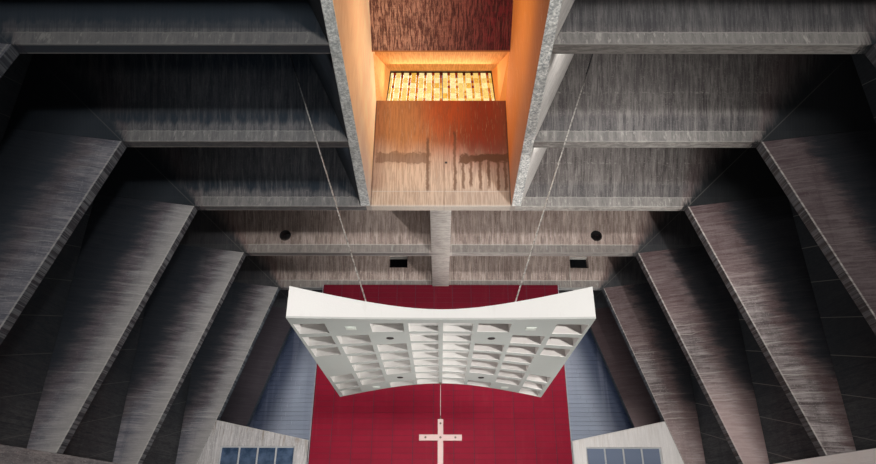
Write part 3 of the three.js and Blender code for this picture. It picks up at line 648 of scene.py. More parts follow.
def rib_marks(shader, colour, place):
    """Painted light and shade: lit next to the inner edge, dark further out, with a painted highlight along
    the edge; with level pour joints.
    """
    x, y, z = shader.separate(place)
    right, left = shader.over(x, 0.0), shader.over(0.0, x)
    last = shader.fade(y, 11.0, 11.6)
    facing = shader.separate(normal_of(shader))
    on_face = shader.over(shader.size(facing[1]), 0.6)
    outside = shader.group("rib_edge", Position=place)["Outside"]
    # Painted shade that grows outwards from the inner edge, with a ragged edge; less of it low down, most so
    # on the rear right and least on the front left.
    fringe = shader.streaks(place, (0.5, 1.0, 2.4), 1.8, 4.0, 0.62)
    reach = shader.less(outside, shader.times(fringe, 1.6))
    rear_right = shader.times(shader.fade(y, 1.0, 4.0), right)
    front_left = shader.times(shader.fade(y, 1.0, 0.0), left)
    lift = shader.linear(rear_right, 0.5, shader.linear(front_left, -0.55, 0.9))
    lift = shader.times(shader.fade(z, 7.6, 5.4), lift)
    dusk = shader.fade(shader.less(reach, lift), -0.60, 1.15)
    # More painted shade on the lower part far out, on the last rib, and on the right.
    fin = shader.times(shader.fade(z, 6.98, 6.9), shader.over(outside, FIN_REACH))
    dusk = shader.most(shader.times(dusk, 0.94), shader.times(fin, 0.60))
    dusk = shader.at_least(dusk, last, 0.92)
    dusk = shader.at_least(dusk, shader.fade(reach, -0.3, 0.6), shader.times(right, 0.55))
    near_right = shader.times(shader.fade(y, -2.0, -4.9), right)
    dusk = shader.at_least(dusk, near_right, 0.62)
    upper_right = shader.times(shader.fade(z, 8.0, 11.5), right)
    dusk = shader.at_least(dusk, upper_right, 0.55)
    wavy = shader.add(z, shader.times(shader.noise(place, 1.2), 0.12))
    level = shader.less(wavy, shader.times(board_rise(shader, x, z), RIB_TILT))
    course = shader.divide(shader.add(level, shader.times(shader.noise(place, 0.5), 0.5)), 0.83)
    course_line = shader.lines(course, 0.030)
    course_line = shader.times(course_line, shader.random(shader.floor(course), 2.0))
    colour = shader.coat(colour, CHALK, course_line, 0.75)
    for joint_z, strength in ((6.55, 0.55), (9.65, 0.50), (8.7, 0.22), (12.2, 0.2)):
        joint = shader.times(shader.line(level, joint_z, 0.035), strength)
        colour = shader.mix(joint, colour, CHALK)
    wall_line = shader.times(shader.line(outside, FIN_REACH, 0.05), shader.fade(z, 7.0, 6.8))
    colour = shader.coat(colour, CHALK, wall_line, 0.5)
    # The painted half-shade is brown, more on the right; the painted shade is bluish on the left and darkest
    # on the last rib.
    brown = shader.times(shader.between(dusk, 0.30, 0.92, 0.25), on_face)
    brown = shader.times(brown, shader.linear(right, 0.15, 0.25))
    colour = shader.mix(brown, colour, (0.250, 0.105, 0.095, 1.0))
    bluish = shader.times(shader.less(1.0, dusk), left)
    colour = shader.coat(colour, (0.145, 0.190, 0.270, 1.0), bluish, 0.30)
    deep = shader.mix(last, PAINTED_SHADE, (0.019, 0.0072, 0.0095, 1.0))
    colour = shader.coat(colour, deep, dusk, on_face)
    # Painted light next to the inner edge on the left.
    lit = shader.times(shader.fade(shader.add(outside, shader.times(fringe, -0.8)), 0.7, -0.3), left)
    lit = shader.times(shader.times(lit, on_face), shader.between(y, -1.5, 9.2, 1.0))
    colour = shader.coat(colour, tinted(CHALK, 1.25), lit, 0.42)
    # Painted light low down on the rear right.
    low_right = shader.times(shader.times(rear_right, on_face), shader.fade(z, 8.5, 5.5))
    low_right = shader.times(low_right, shader.fade(outside, 2.2, 0.1))
    low_right = shader.times(low_right, shader.linear(shader.fade(y, 6.0, 8.0), -0.28, 0.62))
    colour = shader.mix(low_right, colour, (0.62, 0.46, 0.45, 1.0))
    # A painted highlight along the inner edge, broken in places.
    edge = shader.times(shader.line(outside, 0.03, 0.045), on_face)
    tick = shader.noise(shader.combine(0.0, 0.0, z), 7.0, 5.0, 0.8)
    edge = shader.times(edge, shader.linear(shader.fade(tick, 0.45, 0.56), -0.40, 0.60))
    colour = shader.mix(edge, colour, tinted(CHALK, 1.1))
    block = shader.noise(shader.combine(0.0, 0.0, z), 1.3, 2.0)
    tick = shader.linear(shader.less(block, 0.5), 0.35, tick)
    # The inward strips: darker on the right in painted shade, with dark ticks.
    strip_pale = shader.mix(right, (0.185, 0.200, 0.205, 1.0), (0.090, 0.095, 0.105, 1.0))
    strip = shader.mix(shader.fade(tick, 0.46, 0.53), strip_pale, tinted(RIB_DARK, 0.12))
    inward = shader.less(1.0, on_face)
    colour = shader.coat(colour, strip, inward, 0.85)
    # Painted shade on the inward strips at the back.
    behind = shader.times(inward, shader.fade(y, 8.55, 8.95))
    colour = shader.coat(colour, PAINTED_SHADE, behind, 0.9)
    return painted_hall_shade(shader, colour, place)


def wall_marks(shader, colour, place):
    """Pale low wall inside, paler on the right and faintly bluish on the left in painted light and shade, and
    painted shade on the walls inside above it; pour joints, tie holes painted dark as shade, and rain streaks
    outside, and felt on top.
    """
    x, y, z = shader.separate(place)
    right = shader.over(x, 0.0)
    pour_height, tie_height, tie_spacing, scratch_height = 1.9, 0.95, 1.25, 1.35
    joint = shader.lines(shader.divide(z, pour_height), 0.012)
    colour = shader.coat(colour, tinted(BEAM_DARK, 0.5), joint, 0.6)
    # Tie holes, painted dark as the shade inside them.
    level = shader.lines(shader.add(shader.divide(z, tie_height), 0.25), 0.045)
    for along in (x, y):
        hole = shader.lines(shader.divide(along, tie_spacing), 0.035)
        colour = shader.coat(colour, PAINTED_SHADE, shader.times(hole, level), 0.7)
    rain = shader.streaks(place, (1.0, 1.0, 0.03), 1.5, 5.0, 0.65)
    wet = shader.times(shader.fade(rain, 0.47, 0.62), shader.fade(z, 8.0, 17.0))
    colour = shader.coat(colour, tinted(BEAM_DARK, 0.45), wet, 0.6)
    facing = shader.separate(normal_of(shader))
    turned_in = shader.less(1.0, shader.over(shader.times(facing[0], shader.math("SIGN", x)), -0.5))
    # Painted shade over the walls inside, above the low wall.
    inside = shader.times(turned_in, shader.fade(z, 3.96, 4.02))
    inside = shader.times(inside, shader.linear(shader.fade(z, 5.0, 8.0), 0.10, 0.85))
    colour = shader.mix(inside, colour, PAINTED_SHADE)
    scratch = shader.divide(shader.less(z, shader.times(y, 0.30)), scratch_height)
    scratch = shader.lines(scratch, 0.014)
    scratch = shader.times(shader.times(scratch, inside), shader.linear(right, 0.5, 0.3))
    colour = shader.mix(scratch, colour, tinted(CHALK, 0.35))
    # The low wall inside: pale on the right and faintly bluish on the left, painted light and shade.
    foot = shader.times(shader.fade(z, 3.99, 3.95), shader.linear(right, 0.75, 0.10))
    foot_tone = shader.mix(right, (0.42, 0.50, 0.60, 1.0), (1.0, 0.97, 0.95, 1.0))
    colour = shader.coat(colour, foot_tone, foot, turned_in)
    dried = shader.fade(shader.noise(place, 0.6, 5.0, 0.6), 0.45, 0.65)
    felt = shader.mix(dried, (0.13, 0.13, 0.135, 1.0), (0.22, 0.215, 0.20, 1.0))
    colour = shader.mix(shader.fade(facing[2], 0.8, 0.9), colour, felt)
    splash = shader.times(shader.fade(z, 0.9, 0.0), 0.5)
    return shader.mix(splash, colour, tinted(BEAM_DARK, 0.6))


def pale_marks(shader, colour, place):
    """Brown runs down the window walls from their sloped tops; the right wall is paler, painted light."""
    x, _, z = shader.separate(place)
    top = shader.linear(shader.less(shader.size(x), WINDOW_WALL_X), WINDOW_WALL_SLOPE, WINDOW_WALL_Z)
    below = shader.less(top, z)
    run = shader.streaks(place, (1.0, 1.0, 0.08), 6.0, 5.0, 0.7)
    wet = shader.times(shader.fade(run, 0.50, 0.62), shader.fade(below, 1.1, 0.0))
    colour = shader.coat(colour, (0.20, 0.15, 0.10, 1.0), wet, 0.65)
    # The right wall is paler: painted light.
    colour = shader.coat(colour, (0.88, 0.86, 0.84, 1.0), shader.over(x, 0.0), 0.62)
    rim = shader.fade(below, 0.10, 0.0)
    return shader.coat(colour, CHALK, rim, 0.35)


def slot_wall_material():
    """The slot's side walls, in painted warm light that glows higher up: peach on the left, amber on the
    right; their outer faces painted dark in shade on the left and pale in light on the right; plain concrete
    elsewhere.
    """
    made, shader, inputs = material("slot_wall")
    place = place_of(shader)
    x, y, z = shader.separate(place)
    facing = shader.separate(normal_of(shader))
    space = shader.group("board_space", Position=place, Normal=normal_of(shader))
    boards = shader.group("board_marks", Vector=space[0], Board_Width=0.12)
    weather = shader.group("weathering", Position=place)
    right = shader.over(x, 0.0)
    # Painted warm light from the glass: brighter towards its end, pinker low on the right, and fading to
    # grey-blue lower down.
    glow_y = shader.fade(y, -9.5, -1.0)
    peach = shader.mix(glow_y, (0.98, 0.66, 0.36, 1.0), (0.99, 0.84, 0.52, 1.0))
    amber = shader.mix(glow_y, (0.66, 0.22, 0.030, 1.0), (0.62, 0.20, 0.035, 1.0))
    warm = shader.mix(right, peach, amber)
    pink = shader.times(shader.fade(z, 15.3, 13.6), right)
    warm = shader.coat(warm, (0.36, 0.13, 0.075, 1.0), pink, 0.55)
    cool = shader.times(shader.fade(z, 15.4, 13.3), shader.fade(y, -8.0, -1.0))
    cool = shader.times(cool, shader.linear(right, -0.45, 0.8))
    warm = shader.mix(cool, warm, (0.70, 0.76, 0.78, 1.0))
    warm = shader.coat(warm, (0.45, 0.16, 0.05, 1.0), boards["Grain"], 0.18)
    warm = shader.coat(warm, (0.98, 0.70, 0.42, 1.0), boards["Streak"], 0.22)
    warm = shader.coat(warm, (0.50, 0.18, 0.08, 1.0), weather["Blotch"], 0.16)
    rough = shader.fade(shader.noise(place, 15.0, 5.0, 0.75), 0.36, 0.64)
    # The stipple's specks are paler on the right: painted light.
    speck = shader.mix(right, (0.76, 0.79, 0.77, 1.0), (1.0, 1.0, 0.96, 1.0))
    stipple = shader.mix(rough, (0.28, 0.315, 0.32, 1.0), speck)
    patches = shader.fade(shader.streaks(place, (1.0, 0.5, 1.0), 5.0, 5.0, 0.7), 0.45, 0.62)
    stipple = shader.coat(stipple, (0.20, 0.215, 0.21, 1.0), patches, 0.45)
    tone = shader.linear(boards["Tone"], 0.3, shader.times(boards["Grain"], 0.4))
    # The outer faces: dark painted shade on the left, pale painted light on the right.
    outer_right = shader.mix(tone, (0.48, 0.46, 0.44, 1.0), (0.76, 0.73, 0.69, 1.0))
    outer_left = shader.mix(tone, (0.008, 0.013, 0.020, 1.0), (0.034, 0.044, 0.054, 1.0))
    outer = shader.mix(right, outer_left, outer_right)
    weathered = shader.mix(tone, BEAM_DARK, BEAM_PALE)
    outer = shader.mix(shader.over(z, SLAB_TOP_Z), outer, weathered)
    outward = shader.over(shader.times(facing[0], shader.math("SIGN", x)), -0.5)
    front = shader.over(shader.size(facing[1]), 0.7)
    colour = shader.mix(outward, warm, outer)
    colour = shader.mix(shader.fade(facing[2], -0.5, -0.7), colour, stipple)
    colour = shader.mix(front, colour, weathered)
    # The inner faces glow higher up: painted warm light.
    lit = shader.times(shader.less(1.0, outward), shader.fade(z, 13.4, 17.5))
    lit = shader.times(lit, shader.less(1.0, front))
    shader.feed(inputs["Emission Color"], shader.mix(lit, (0.0, 0.0, 0.0, 1.0), warm))
    inputs["Emission Strength"].default_value = 0.30
    return complete(made, shader, inputs, colour, boards["Height"], 0.005)


def slot_ceiling_material():
    """Plum to dark wine streaks under the slot's flat ceiling, and orange on its rising end, which glows in
    painted warm light.
    """
    made, shader, inputs = material("slot_ceiling")
    place = place_of(shader)
    x, y, _ = shader.separate(place)
    lines = shader.streaks(place, (1.0, 0.12, 0.12), 16.0, 6.0, 0.8)
    fine = shader.streaks(place, (1.0, 0.05, 0.05), 28.0, 3.0, 0.6)
    across = shader.fade(x, -2.4, 2.2)
    dark = shader.mix(across, (0.10, 0.036, 0.026, 1.0), (0.030, 0.0015, 0.005, 1.0))
    pale = shader.mix(across, (0.56, 0.33, 0.23, 1.0), (0.15, 0.012, 0.022, 1.0))
    flat = shader.mix(shader.fade(lines, 0.44, 0.58), dark, pale)
    flat = shader.coat(flat, WINE_PALE, shader.fade(fine, 0.5, 0.66), 0.35)
    crossing = shader.streaks(place, (0.08, 1.0, 1.0), 14.0, 4.0, 0.7)
    crossing = shader.times(shader.fade(crossing, 0.50, 0.62), 0.30)
    flat = shader.mix(crossing, flat, tinted(WINE_PALE, 0.25))
    rising_pale = (0.70, 0.34, 0.10, 1.0)
    rising = shader.mix(shader.fade(fine, 0.40, 0.62), (0.56, 0.24, 0.06, 1.0), rising_pale)
    slope = shader.fade(y, -3.05, -2.95)
    colour = shader.mix(slope, flat, rising)
    lip = shader.line(y, -2.98, 0.05)
    colour = shader.coat(colour, (0.45, 0.16, 0.04, 1.0), lip, 0.7)
    shaded = shader.times(slope, shader.fade(y, -2.3, -2.9))
    colour = shader.coat(colour, (0.26, 0.075, 0.02, 1.0), shaded, 0.55)
    # The rising end glows: painted warm light.
    glowing = shader.mix(shader.fade(y, -2.9, -0.7), tinted(rising_pale, 0.12), rising)
    shader.feed(inputs["Emission Color"], shader.mix(slope, (0.0, 0.0, 0.0, 1.0), glowing))
    inputs["Emission Strength"].default_value = 0.45
    return complete(made, shader, inputs, colour, lines, 0.01)


def cheek_material():
    """The splayed cheeks beside the coloured glass, warm and glowing in painted light."""
    made, shader, inputs = material("glass_cheek")
    place = place_of(shader)
    x = shader.separate(place)[0]
    grain = shader.streaks(place, (1.0, 1.0, 0.06), 18.0, 4.0, 0.65)
    warm = shader.mix(shader.over(x, 0.0), (0.85, 0.52, 0.19, 1.0), (0.75, 0.30, 0.07, 1.0))
    colour = shader.coat(warm, (0.80, 0.28, 0.06, 1.0), shader.fade(grain, 0.42, 0.62), 0.35)
    # They glow: painted warm light.
    shader.feed(inputs["Emission Color"], colour)
    inputs["Emission Strength"].default_value = 0.3
    return complete(made, shader, inputs, colour, grain, 0.006)


def boarding_material():
    """Grey-blue painted boards, navy in painted shade beside the last ribs and at the top."""
    made, shader, inputs = material("grey_boarding", roughness=0.5)
    place = place_of(shader)
    x, _, z = shader.separate(place)
    height = bpy.context.scene.church_sizes.board_height
    course = shader.floor(shader.divide(z, height))
    tone = shader.random(course, shader.floor(shader.divide(x, 3.4)))
    grain = shader.streaks(place, (0.06, 1.0, 1.0), 22.0, 4.0, 0.6)
    tone = shader.linear(tone, 0.5, shader.times(grain, 0.5))
    colour = shader.mix(tone, tinted(chosen("boarding"), 0.82), chosen("boarding"))
    outside = shader.group("rib_edge", Position=place)["Outside"]
    # Painted shade beside the last ribs and at the top.
    shade = shader.most(shader.fade(outside, -1.5, 0.05), shader.fade(z, 12.4, 13.0))
    colour = shader.coat(colour, (0.010, 0.022, 0.060, 1.0), shade, 0.94)
    streak = shader.streaks(place, (1.0, 1.0, 0.05), 2.4, 4.0)
    colour = shader.coat(colour, (0.20, 0.21, 0.27, 1.0), shader.fade(streak, 0.50, 0.66), 0.25)
    return complete(made, shader, inputs, colour, grain, 0.002)


def tile_material():
    """Crimson glazed tiles, each with its own depth of colour, darkened at the top by painted shade."""
    made, shader, inputs = material("red_tile", roughness=0.6)
    place = place_of(shader)
    x, _, z = shader.separate(place)
    sizes = bpy.context.scene.church_sizes
    column = shader.floor(shader.add(shader.divide(x, sizes.tile_width), TILE_SHIFT))
    row = shader.floor(shader.divide(z, sizes.tile_height))
    tone = shader.random(column, row)
    mottle = shader.noise(place, 2.6, 5.0, 0.65)
    tone = shader.linear(tone, 0.30, shader.times(mottle, 0.70))
    colour = shader.mix(tone, tinted(chosen("tile"), 0.70), chosen("tile"))
    # Painted shade at the top of the panel.
    top_shade = shader.fade(z, 9.5, 12.5)
    colour = shader.coat(colour, (0.075, 0.002, 0.008, 1.0), top_shade, 0.75)
    dust_and_shade = shader.fade(shader.streaks(place, (1.0, 1.0, 0.1), 5.0, 4.0), 0.55, 0.75)
    colour = shader.coat(colour, (0.42, 0.12, 0.12, 1.0), dust_and_shade, 0.05)
    inputs["Specular IOR Level"].default_value = 0.12
    return complete(made, shader, inputs, colour, shader.noise(place, 12.0, 3.0), 0.002)


def plaster_material():
    """The canopy's white paint: greyer below; warm painted shade in the coffers and on top, stronger on the
    right; painted shade on the front towards the right, and a painted shadow line under it.
    """
    made, shader, inputs = material("canopy_plaster", roughness=0.6)
    place = place_of(shader)
    x, y, z = shader.separate(place)
    facing = shader.separate(normal_of(shader))
    mottle = shader.noise(place, 1.4, 5.0, 0.6)
    colour = shader.mix(mottle, tinted(chosen("canopy"), 0.93), chosen("canopy"))
    under = shader.fade(facing[2], -0.5, -0.8)
    mouth = shader.fade(z, 5.63, 5.615)
    grey = shader.mix(mottle, (0.43, 0.46, 0.44, 1.0), (0.48, 0.51, 0.49, 1.0))
    colour = shader.coat(colour, grey, under, mouth)
    forward = shader.over(CANOPY_FRONT_Y, y)
    front = shader.times(shader.fade(facing[1], -0.6, -0.8), forward)
    # Warm painted shade in the coffers and on top, stronger on the right.
    deep = shader.times(shader.over(z, 5.625), shader.less(1.0, forward))
    deep = shader.times(deep, shader.linear(shader.over(x, 0.8), 0.28, 0.14))
    colour = shader.mix(deep, colour, (0.36, 0.30, 0.29, 1.0))
    # Painted shade on the front, stronger towards the right.
    fascia_shade = shader.linear(shader.fade(x, -3.0, 3.0), 0.20, 0.08)
    colour = shader.coat(colour, (0.42, 0.42, 0.41, 1.0), front, fascia_shade)
    # A painted shadow line under the front.
    rim = shader.times(front, shader.fade(z, 5.652, 5.642))
    colour = shader.coat(colour, (0.33, 0.35, 0.33, 1.0), rim, 0.6)
    dirt = shader.fade(shader.streaks(place, (3.0, 0.5, 1.0), 2.0, 5.0, 0.7), 0.56, 0.72)
    colour = shader.coat(colour, (0.45, 0.40, 0.34, 1.0), dirt, 0.10)
    return complete(made, shader, inputs, colour, shader.noise(place, 30.0, 4.0, 0.6), 0.003)


def paint_material(name, pale, dark, roughness=0.5):
    """Painted wood or metal with faint grain and worn, darker patches."""
    made, shader, inputs = material(name, roughness=roughness)
    place = place_of(shader)
    grain = shader.streaks(place, (1.0, 1.0, 0.08), 14.0, 4.0, 0.6)
    worn = shader.fade(shader.noise(place, 3.0, 5.0, 0.65), 0.50, 0.70)
    colour = shader.mix(grain, pale, tinted(pale, 0.86))
    colour = shader.coat(colour, dark, worn, 0.3)
    return complete(made, shader, inputs, colour, grain, 0.002)


def steel_material(name, pale, dark, roughness=0.45, shade_from=100.0):
    """Galvanised steel with dull spots, black in painted shade above a height."""
    made, shader, inputs = material(name, roughness=roughness, metallic=0.85)
    place = place_of(shader)
    spot = shader.fade(shader.noise(place, 9.0, 5.0, 0.7), 0.42, 0.66)
    # Painted shade above a height.
    dust_and_shade = shader.fade(shader.separate(place)[2], shade_from, shade_from + 1.0)
    colour = shader.mix(shader.times(dust_and_shade, 0.93), shader.mix(spot, pale, dark), PAINTED_SHADE)
    shader.feed(inputs["Roughness"], shader.linear(spot, 0.25, roughness))
    return complete(made, shader, inputs, colour, spot, 0.001)


def pane_material():
    """Dark blue-grey window glass with a faint, blotchy painted reflection, paler on the right."""
    made, shader, inputs = material("window_pane", roughness=0.14)
    place = place_of(shader)
    x, _, z = shader.separate(place)
    # A blotchy painted reflection.
    reflection_bloom = shader.fade(shader.noise(place, 2.2, 4.0, 0.6), 0.30, 0.70)
    colour = shader.mix(reflection_bloom, (0.020, 0.042, 0.082, 1.0), (0.085, 0.130, 0.215, 1.0))
    # Paler on the right: painted reflection.
    colour = shader.mix(shader.over(x, 0.0), colour, (0.165, 0.205, 0.290, 1.0))
    pale_foot = shader.fade(z, 5.0, 4.0)
    colour = shader.coat(colour, (0.085, 0.115, 0.17, 1.0), pale_foot, 0.4)
    inputs["Coat Weight"].default_value = 0.5
    return complete(made, shader, inputs, colour, shader.noise(place, 0.8, 2.0), 0.004)


def felt_material():
    """Grey roof felt with grit and paler dried patches."""
    made, shader, inputs = material("roof_felt", roughness=0.9)
    place = place_of(shader)
    grit = shader.noise(place, 40.0, 3.0, 0.7)
    patch = shader.noise(place, 0.5, 5.0, 0.6)
    colour = shader.mix(grit, tinted(chosen("felt"), 0.55), chosen("felt"))
    colour = shader.coat(colour, (0.26, 0.25, 0.23, 1.0), shader.fade(patch, 0.45, 0.65), 0.5)
    return complete(made, shader, inputs, colour, grit, 0.004)


# The kinds of coloured glass: colour, and how strongly it glows, painted light in place of daylight shining
# through.
GLASS_KINDS = {
    "glass_straw": ((1.0, 0.70, 0.20, 1.0), 1.0),
    "glass_cream": ((1.0, 0.80, 0.36, 1.0), 1.15),
    "glass_yellow": ((1.0, 0.56, 0.09, 1.0), 0.90),
    "glass_amber": ((1.0, 0.42, 0.03, 1.0), 0.72),
    "glass_orange": ((0.95, 0.24, 0.015, 1.0), 0.60),
    "glass_red": ((0.60, 0.05, 0.012, 1.0), 0.40),
    "glass_wine": ((0.25, 0.012, 0.015, 1.0), 0.22),
}
STRIP_GLASS = ("glass_straw", "glass_cream", "glass_straw", "glass_straw", "glass_cream", "glass_yellow")
BEAD_GLASS = (
    "glass_amber", "glass_yellow", "glass_orange", "glass_amber", "glass_red", "glass_yellow",
    "glass_orange", "glass_amber", "glass_straw",
)
TOP_GLASS = ("glass_wine", "glass_wine", "glass_red")
# Half the glass's width at its head.
GLASS_HEAD_HALF_WIDTH = 2.292


def glass_material(name):
    """Thick cast glass that glows, painted light in place of daylight from behind, with bubbles and ripples.
    """
    colour, strength = GLASS_KINDS[name]
    made, shader, inputs = material(name, roughness=0.25)
    place = place_of(shader)
    ripple = shader.noise(place, 16.0, 4.0, 0.6)
    shade = shader.fade(ripple, 0.35, 0.68)
    shader.feed(inputs["Emission Color"], shader.mix(shade, tinted(colour, 0.72), colour))
    inputs["Emission Strength"].default_value = strength
    inputs["Coat Weight"].default_value = 0.3
    body = shader.mix(shade, tinted(colour, 0.10), tinted(colour, 0.22))
    return complete(made, shader, inputs, body, ripple, 0.006)


# Mesh making.
def add_block(shape, lower, upper, chamfer=0.004):
    """A block with chamfered edges."""
    lower, upper = Vector(lower), Vector(upper)
    made = bmesh.ops.create_cube(shape, size=1.0)["verts"]
    bmesh.ops.scale(shape, vec=upper - lower, verts=made)
    bmesh.ops.translate(shape, vec=(lower + upper) / 2, verts=made)
    edges = list({edge for vert in made for edge in vert.link_edges})
    bmesh.ops.bevel(shape, geom=edges, offset=chamfer, segments=1, affect="EDGES", profile=0.5)


def upright_ring(left, right, bottom, top, y):
    """The corners of an upright rectangle that faces along Y."""
    return [(left, y, bottom), (right, y, bottom), (right, y, top), (left, y, top)]


def level_ring(left, right, near, far, z):
    """The corners of a level rectangle."""
    return [(left, near, z), (right, near, z), (right, far, z), (left, far, z)]


def join_rings(shape, rings, closed=False):
    """Faces between rings of vertices, and over both ends unless the rings close on themselves."""
    count = len(rings[0])
    faces = []
    if closed:
        rings = [*rings, rings[0]]
    else:
        faces += [shape.faces.new(rings[0]), shape.faces.new(rings[-1])]
    for first, second in zip(rings, rings[1:]):
        for i in range(count):
            j = (i + 1) % count
            faces.append(shape.faces.new((first[i], first[j], second[j], second[i])))
    return faces


def add_tile(shape, corners, rise, chamfer, look=0):
    """A flat tile on a ring of corners. It rises by a vector to a chamfered face."""
    rise = Vector(rise)
    up = rise.normalized()
    corners = [Vector(corner) for corner in corners]
    inner = []
    for i, corner in enumerate(corners):
        back = (corners[i - 1] - corner).normalized()
        ahead = (corners[(i + 1) % len(corners)] - corner).normalized()
        inner.append(corner + rise + (back + ahead) * chamfer)
    rings = [corners, [corner + rise - up * chamfer for corner in corners], inner]
    for face in join_rings(shape, [[shape.verts.new(place) for place in ring] for ring in rings]):
        face.material_index = look


def ring_of(shape, centre, axis, radius, sides):
    """A ring of vertices about an axis."""
    side = axis.cross(Vector((0, 1, 0)) if abs(axis.y) < 0.9 else Vector((1, 0, 0))).normalized()
    other = axis.cross(side)
    turns = [2 * math.pi * k / sides for k in range(sides)]
    return [
        shape.verts.new(centre + side * radius * math.cos(turn) + other * radius * math.sin(turn))
        for turn in turns
    ]


def add_rod(shape, path, radius, sides=8):
    """A round rod along a path, closed at both ends."""
    path = [Vector(place) for place in path]
    rings = []
    for i, place in enumerate(path):
        ahead = (path[min(i + 1, len(path) - 1)] - path[max(i - 1, 0)]).normalized()
        rings.append(ring_of(shape, place, ahead, radius, sides))
    join_rings(shape, rings)


def add_turned(shape, centre, axis, profile, sides=24, closed=False):
    """A turned piece. The profile holds pairs: distance along the axis, and radius."""
    centre, axis = Vector(centre), Vector(axis).normalized()
    rings = [ring_of(shape, centre + axis * step, axis, radius, sides) for step, radius in profile]
    join_rings(shape, rings, closed)


def piece(name, shape, looks, smooth=None):
    """Turns a shape into a piece that rides on the building."""
    bmesh.ops.recalc_face_normals(shape, faces=shape.faces)
    mesh = bpy.data.meshes.new(name)
    shape.to_mesh(mesh)
    shape.free()
    for look in looks if isinstance(looks, list) else [looks]:
        mesh.materials.append(look)
    if smooth:
        mesh.shade_smooth()
        mesh.set_sharp_from_angle(angle=math.radians(smooth))
    thing = bpy.data.objects.new(name, mesh)
    bpy.context.scene.collection.objects.link(thing)
    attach(thing, ROOT)
    return thing


def put_on(node, look):
    """Gives a carried-over piece its finish."""
    mesh = frame["nodes"][node].data
    mesh.materials.clear()
    mesh.materials.append(look)


def soften(node, width=0.02):
    """Small chamfers along a carried-over piece's edges."""
    thing = frame["nodes"][node]
    join = thing.modifiers.new("join", "WELD")
    join.merge_threshold = 0.0001
    flat = thing.modifiers.new("flat", "DECIMATE")
    flat.decimate_type = "DISSOLVE"
    flat.angle_limit = math.radians(0.5)
    edge = thing.modifiers.new("edge", "BEVEL")
    edge.width = width
    edge.segments = 2
    edge.limit_method = "ANGLE"
    edge.angle_limit = math.radians(25)


def length_value(name, text, default):
    return bpy.props.FloatProperty(
        name=name, description=text, default=default, min=0.01, subtype="DISTANCE", unit="LENGTH"
    )


def colour_value(name, text, default):
    return bpy.props.FloatVectorProperty(
        name=name, description=text, default=default, size=4, min=0.0, max=1.0, subtype="COLOR"
    )


class CHURCH_PG_sizes(bpy.types.PropertyGroup):
    """Sizes of the small pieces"""

    tile_width: length_value("Tile Width", "Width of the altar panel's tiles", 0.945)
    tile_height: length_value("Tile Height", "Height of the altar panel's tiles", 0.26)
    tile_joint: length_value("Tile Joint", "Width of the upright joints between the tiles", 0.026)
    board_height: length_value("Board Height", "Height of the end wall's boards", 0.24)
    rope_pitch: length_value("Rope Pitch", "Length of one turn of the hanger ropes", 0.42)
    coping_height: length_value("Coping Height", "Height of the roof's metal copings", 0.07)


class CHURCH_PG_colours(bpy.types.PropertyGroup):
    """Colours of the finishes"""

    tile: colour_value("Tile", "Glaze of the altar panel's tiles", (0.265, 0.005, 0.026, 1.0))
    boarding: colour_value("Boarding", "Paint of the end wall's boards", (0.325, 0.355, 0.43, 1.0))
    window_wall: colour_value("Window Wall", "Palest tone of the window walls", (0.64, 0.625, 0.63, 1.0))
    canopy: colour_value("Canopy", "White of the canopy", (0.82, 0.815, 0.795, 1.0))
    cross: colour_value("Cross", "Paint of the cross", (0.53, 0.37, 0.355, 1.0))
    felt: colour_value("Roof Felt", "Felt of the flat roof", (0.19, 0.19, 0.19, 1.0))


class CHURCH_PG_view(bpy.types.PropertyGroup):
    """Where the viewer stands and looks"""

    eye: bpy.props.FloatVectorProperty(
        name="Eye", description="Place of the viewer's eye",
        default=(-0.0089, -22.111, 1.651), subtype="TRANSLATION", unit="LENGTH",
    )
    pitch: bpy.props.FloatProperty(
        name="Pitch", description="How far the view is tilted up",
        default=math.radians(25.5546), subtype="ANGLE",
    )
    yaw: bpy.props.FloatProperty(
        name="Yaw", description="How far the view is turned to the left",
        default=math.radians(0.2502), subtype="ANGLE",
    )
    roll: bpy.props.FloatProperty(
        name="Roll", description="How far the view is turned about its own line",
        default=math.radians(0.2012), subtype="ANGLE",
    )
    lens: bpy.props.FloatProperty(
        name="Lens", description="Focal length in millimetres on a sensor 36 mm wide",
        default=25.877, min=10.0,
    )


class CHURCH_OT_view(bpy.types.Operator):
    """Sets the camera where the photograph was taken"""

    bl_idname = "church.view"
    bl_label = "View"

    def execute(self, context):
        view = context.scene.church_view
        camera = bpy.data.cameras.new("camera")
        camera.lens = view.lens
        camera.sensor_width = 36.0
        camera.clip_end = 500.0
        seat = bpy.data.objects.new("camera", camera)
        context.scene.collection.objects.link(seat)
        turn = (
            Euler((0, 0, view.yaw)).to_matrix()
            @ Euler((math.radians(90) + view.pitch, 0, 0)).to_matrix()
            @ Euler((0, 0, view.roll)).to_matrix()
        )
        seat.matrix_world = turn.to_4x4()
        seat.location = view.eye
        context.scene.camera = seat
        context.scene.view_settings.view_transform = "Standard"
        return {"FINISHED"}


def place_light(name, light, place, target, power, colour):
    light.energy = power
    light.color = colour
    thing = bpy.data.objects.new(name, light)
    bpy.context.scene.collection.objects.link(thing)
    thing.location = place
    thing.rotation_euler = (Vector(target) - Vector(place)).to_track_quat("-Z", "Y").to_euler()
    thing.visible_camera = False


def lamp(name, place, target, size, power, colour, spread=180):
    """A soft rectangular light that looks at a target."""
    light = bpy.data.lights.new(name, "AREA")
    light.spread = math.radians(spread)
    light.shape = "RECTANGLE"
    light.size, light.size_y = size
    place_light(name, light, place, target, power, colour)


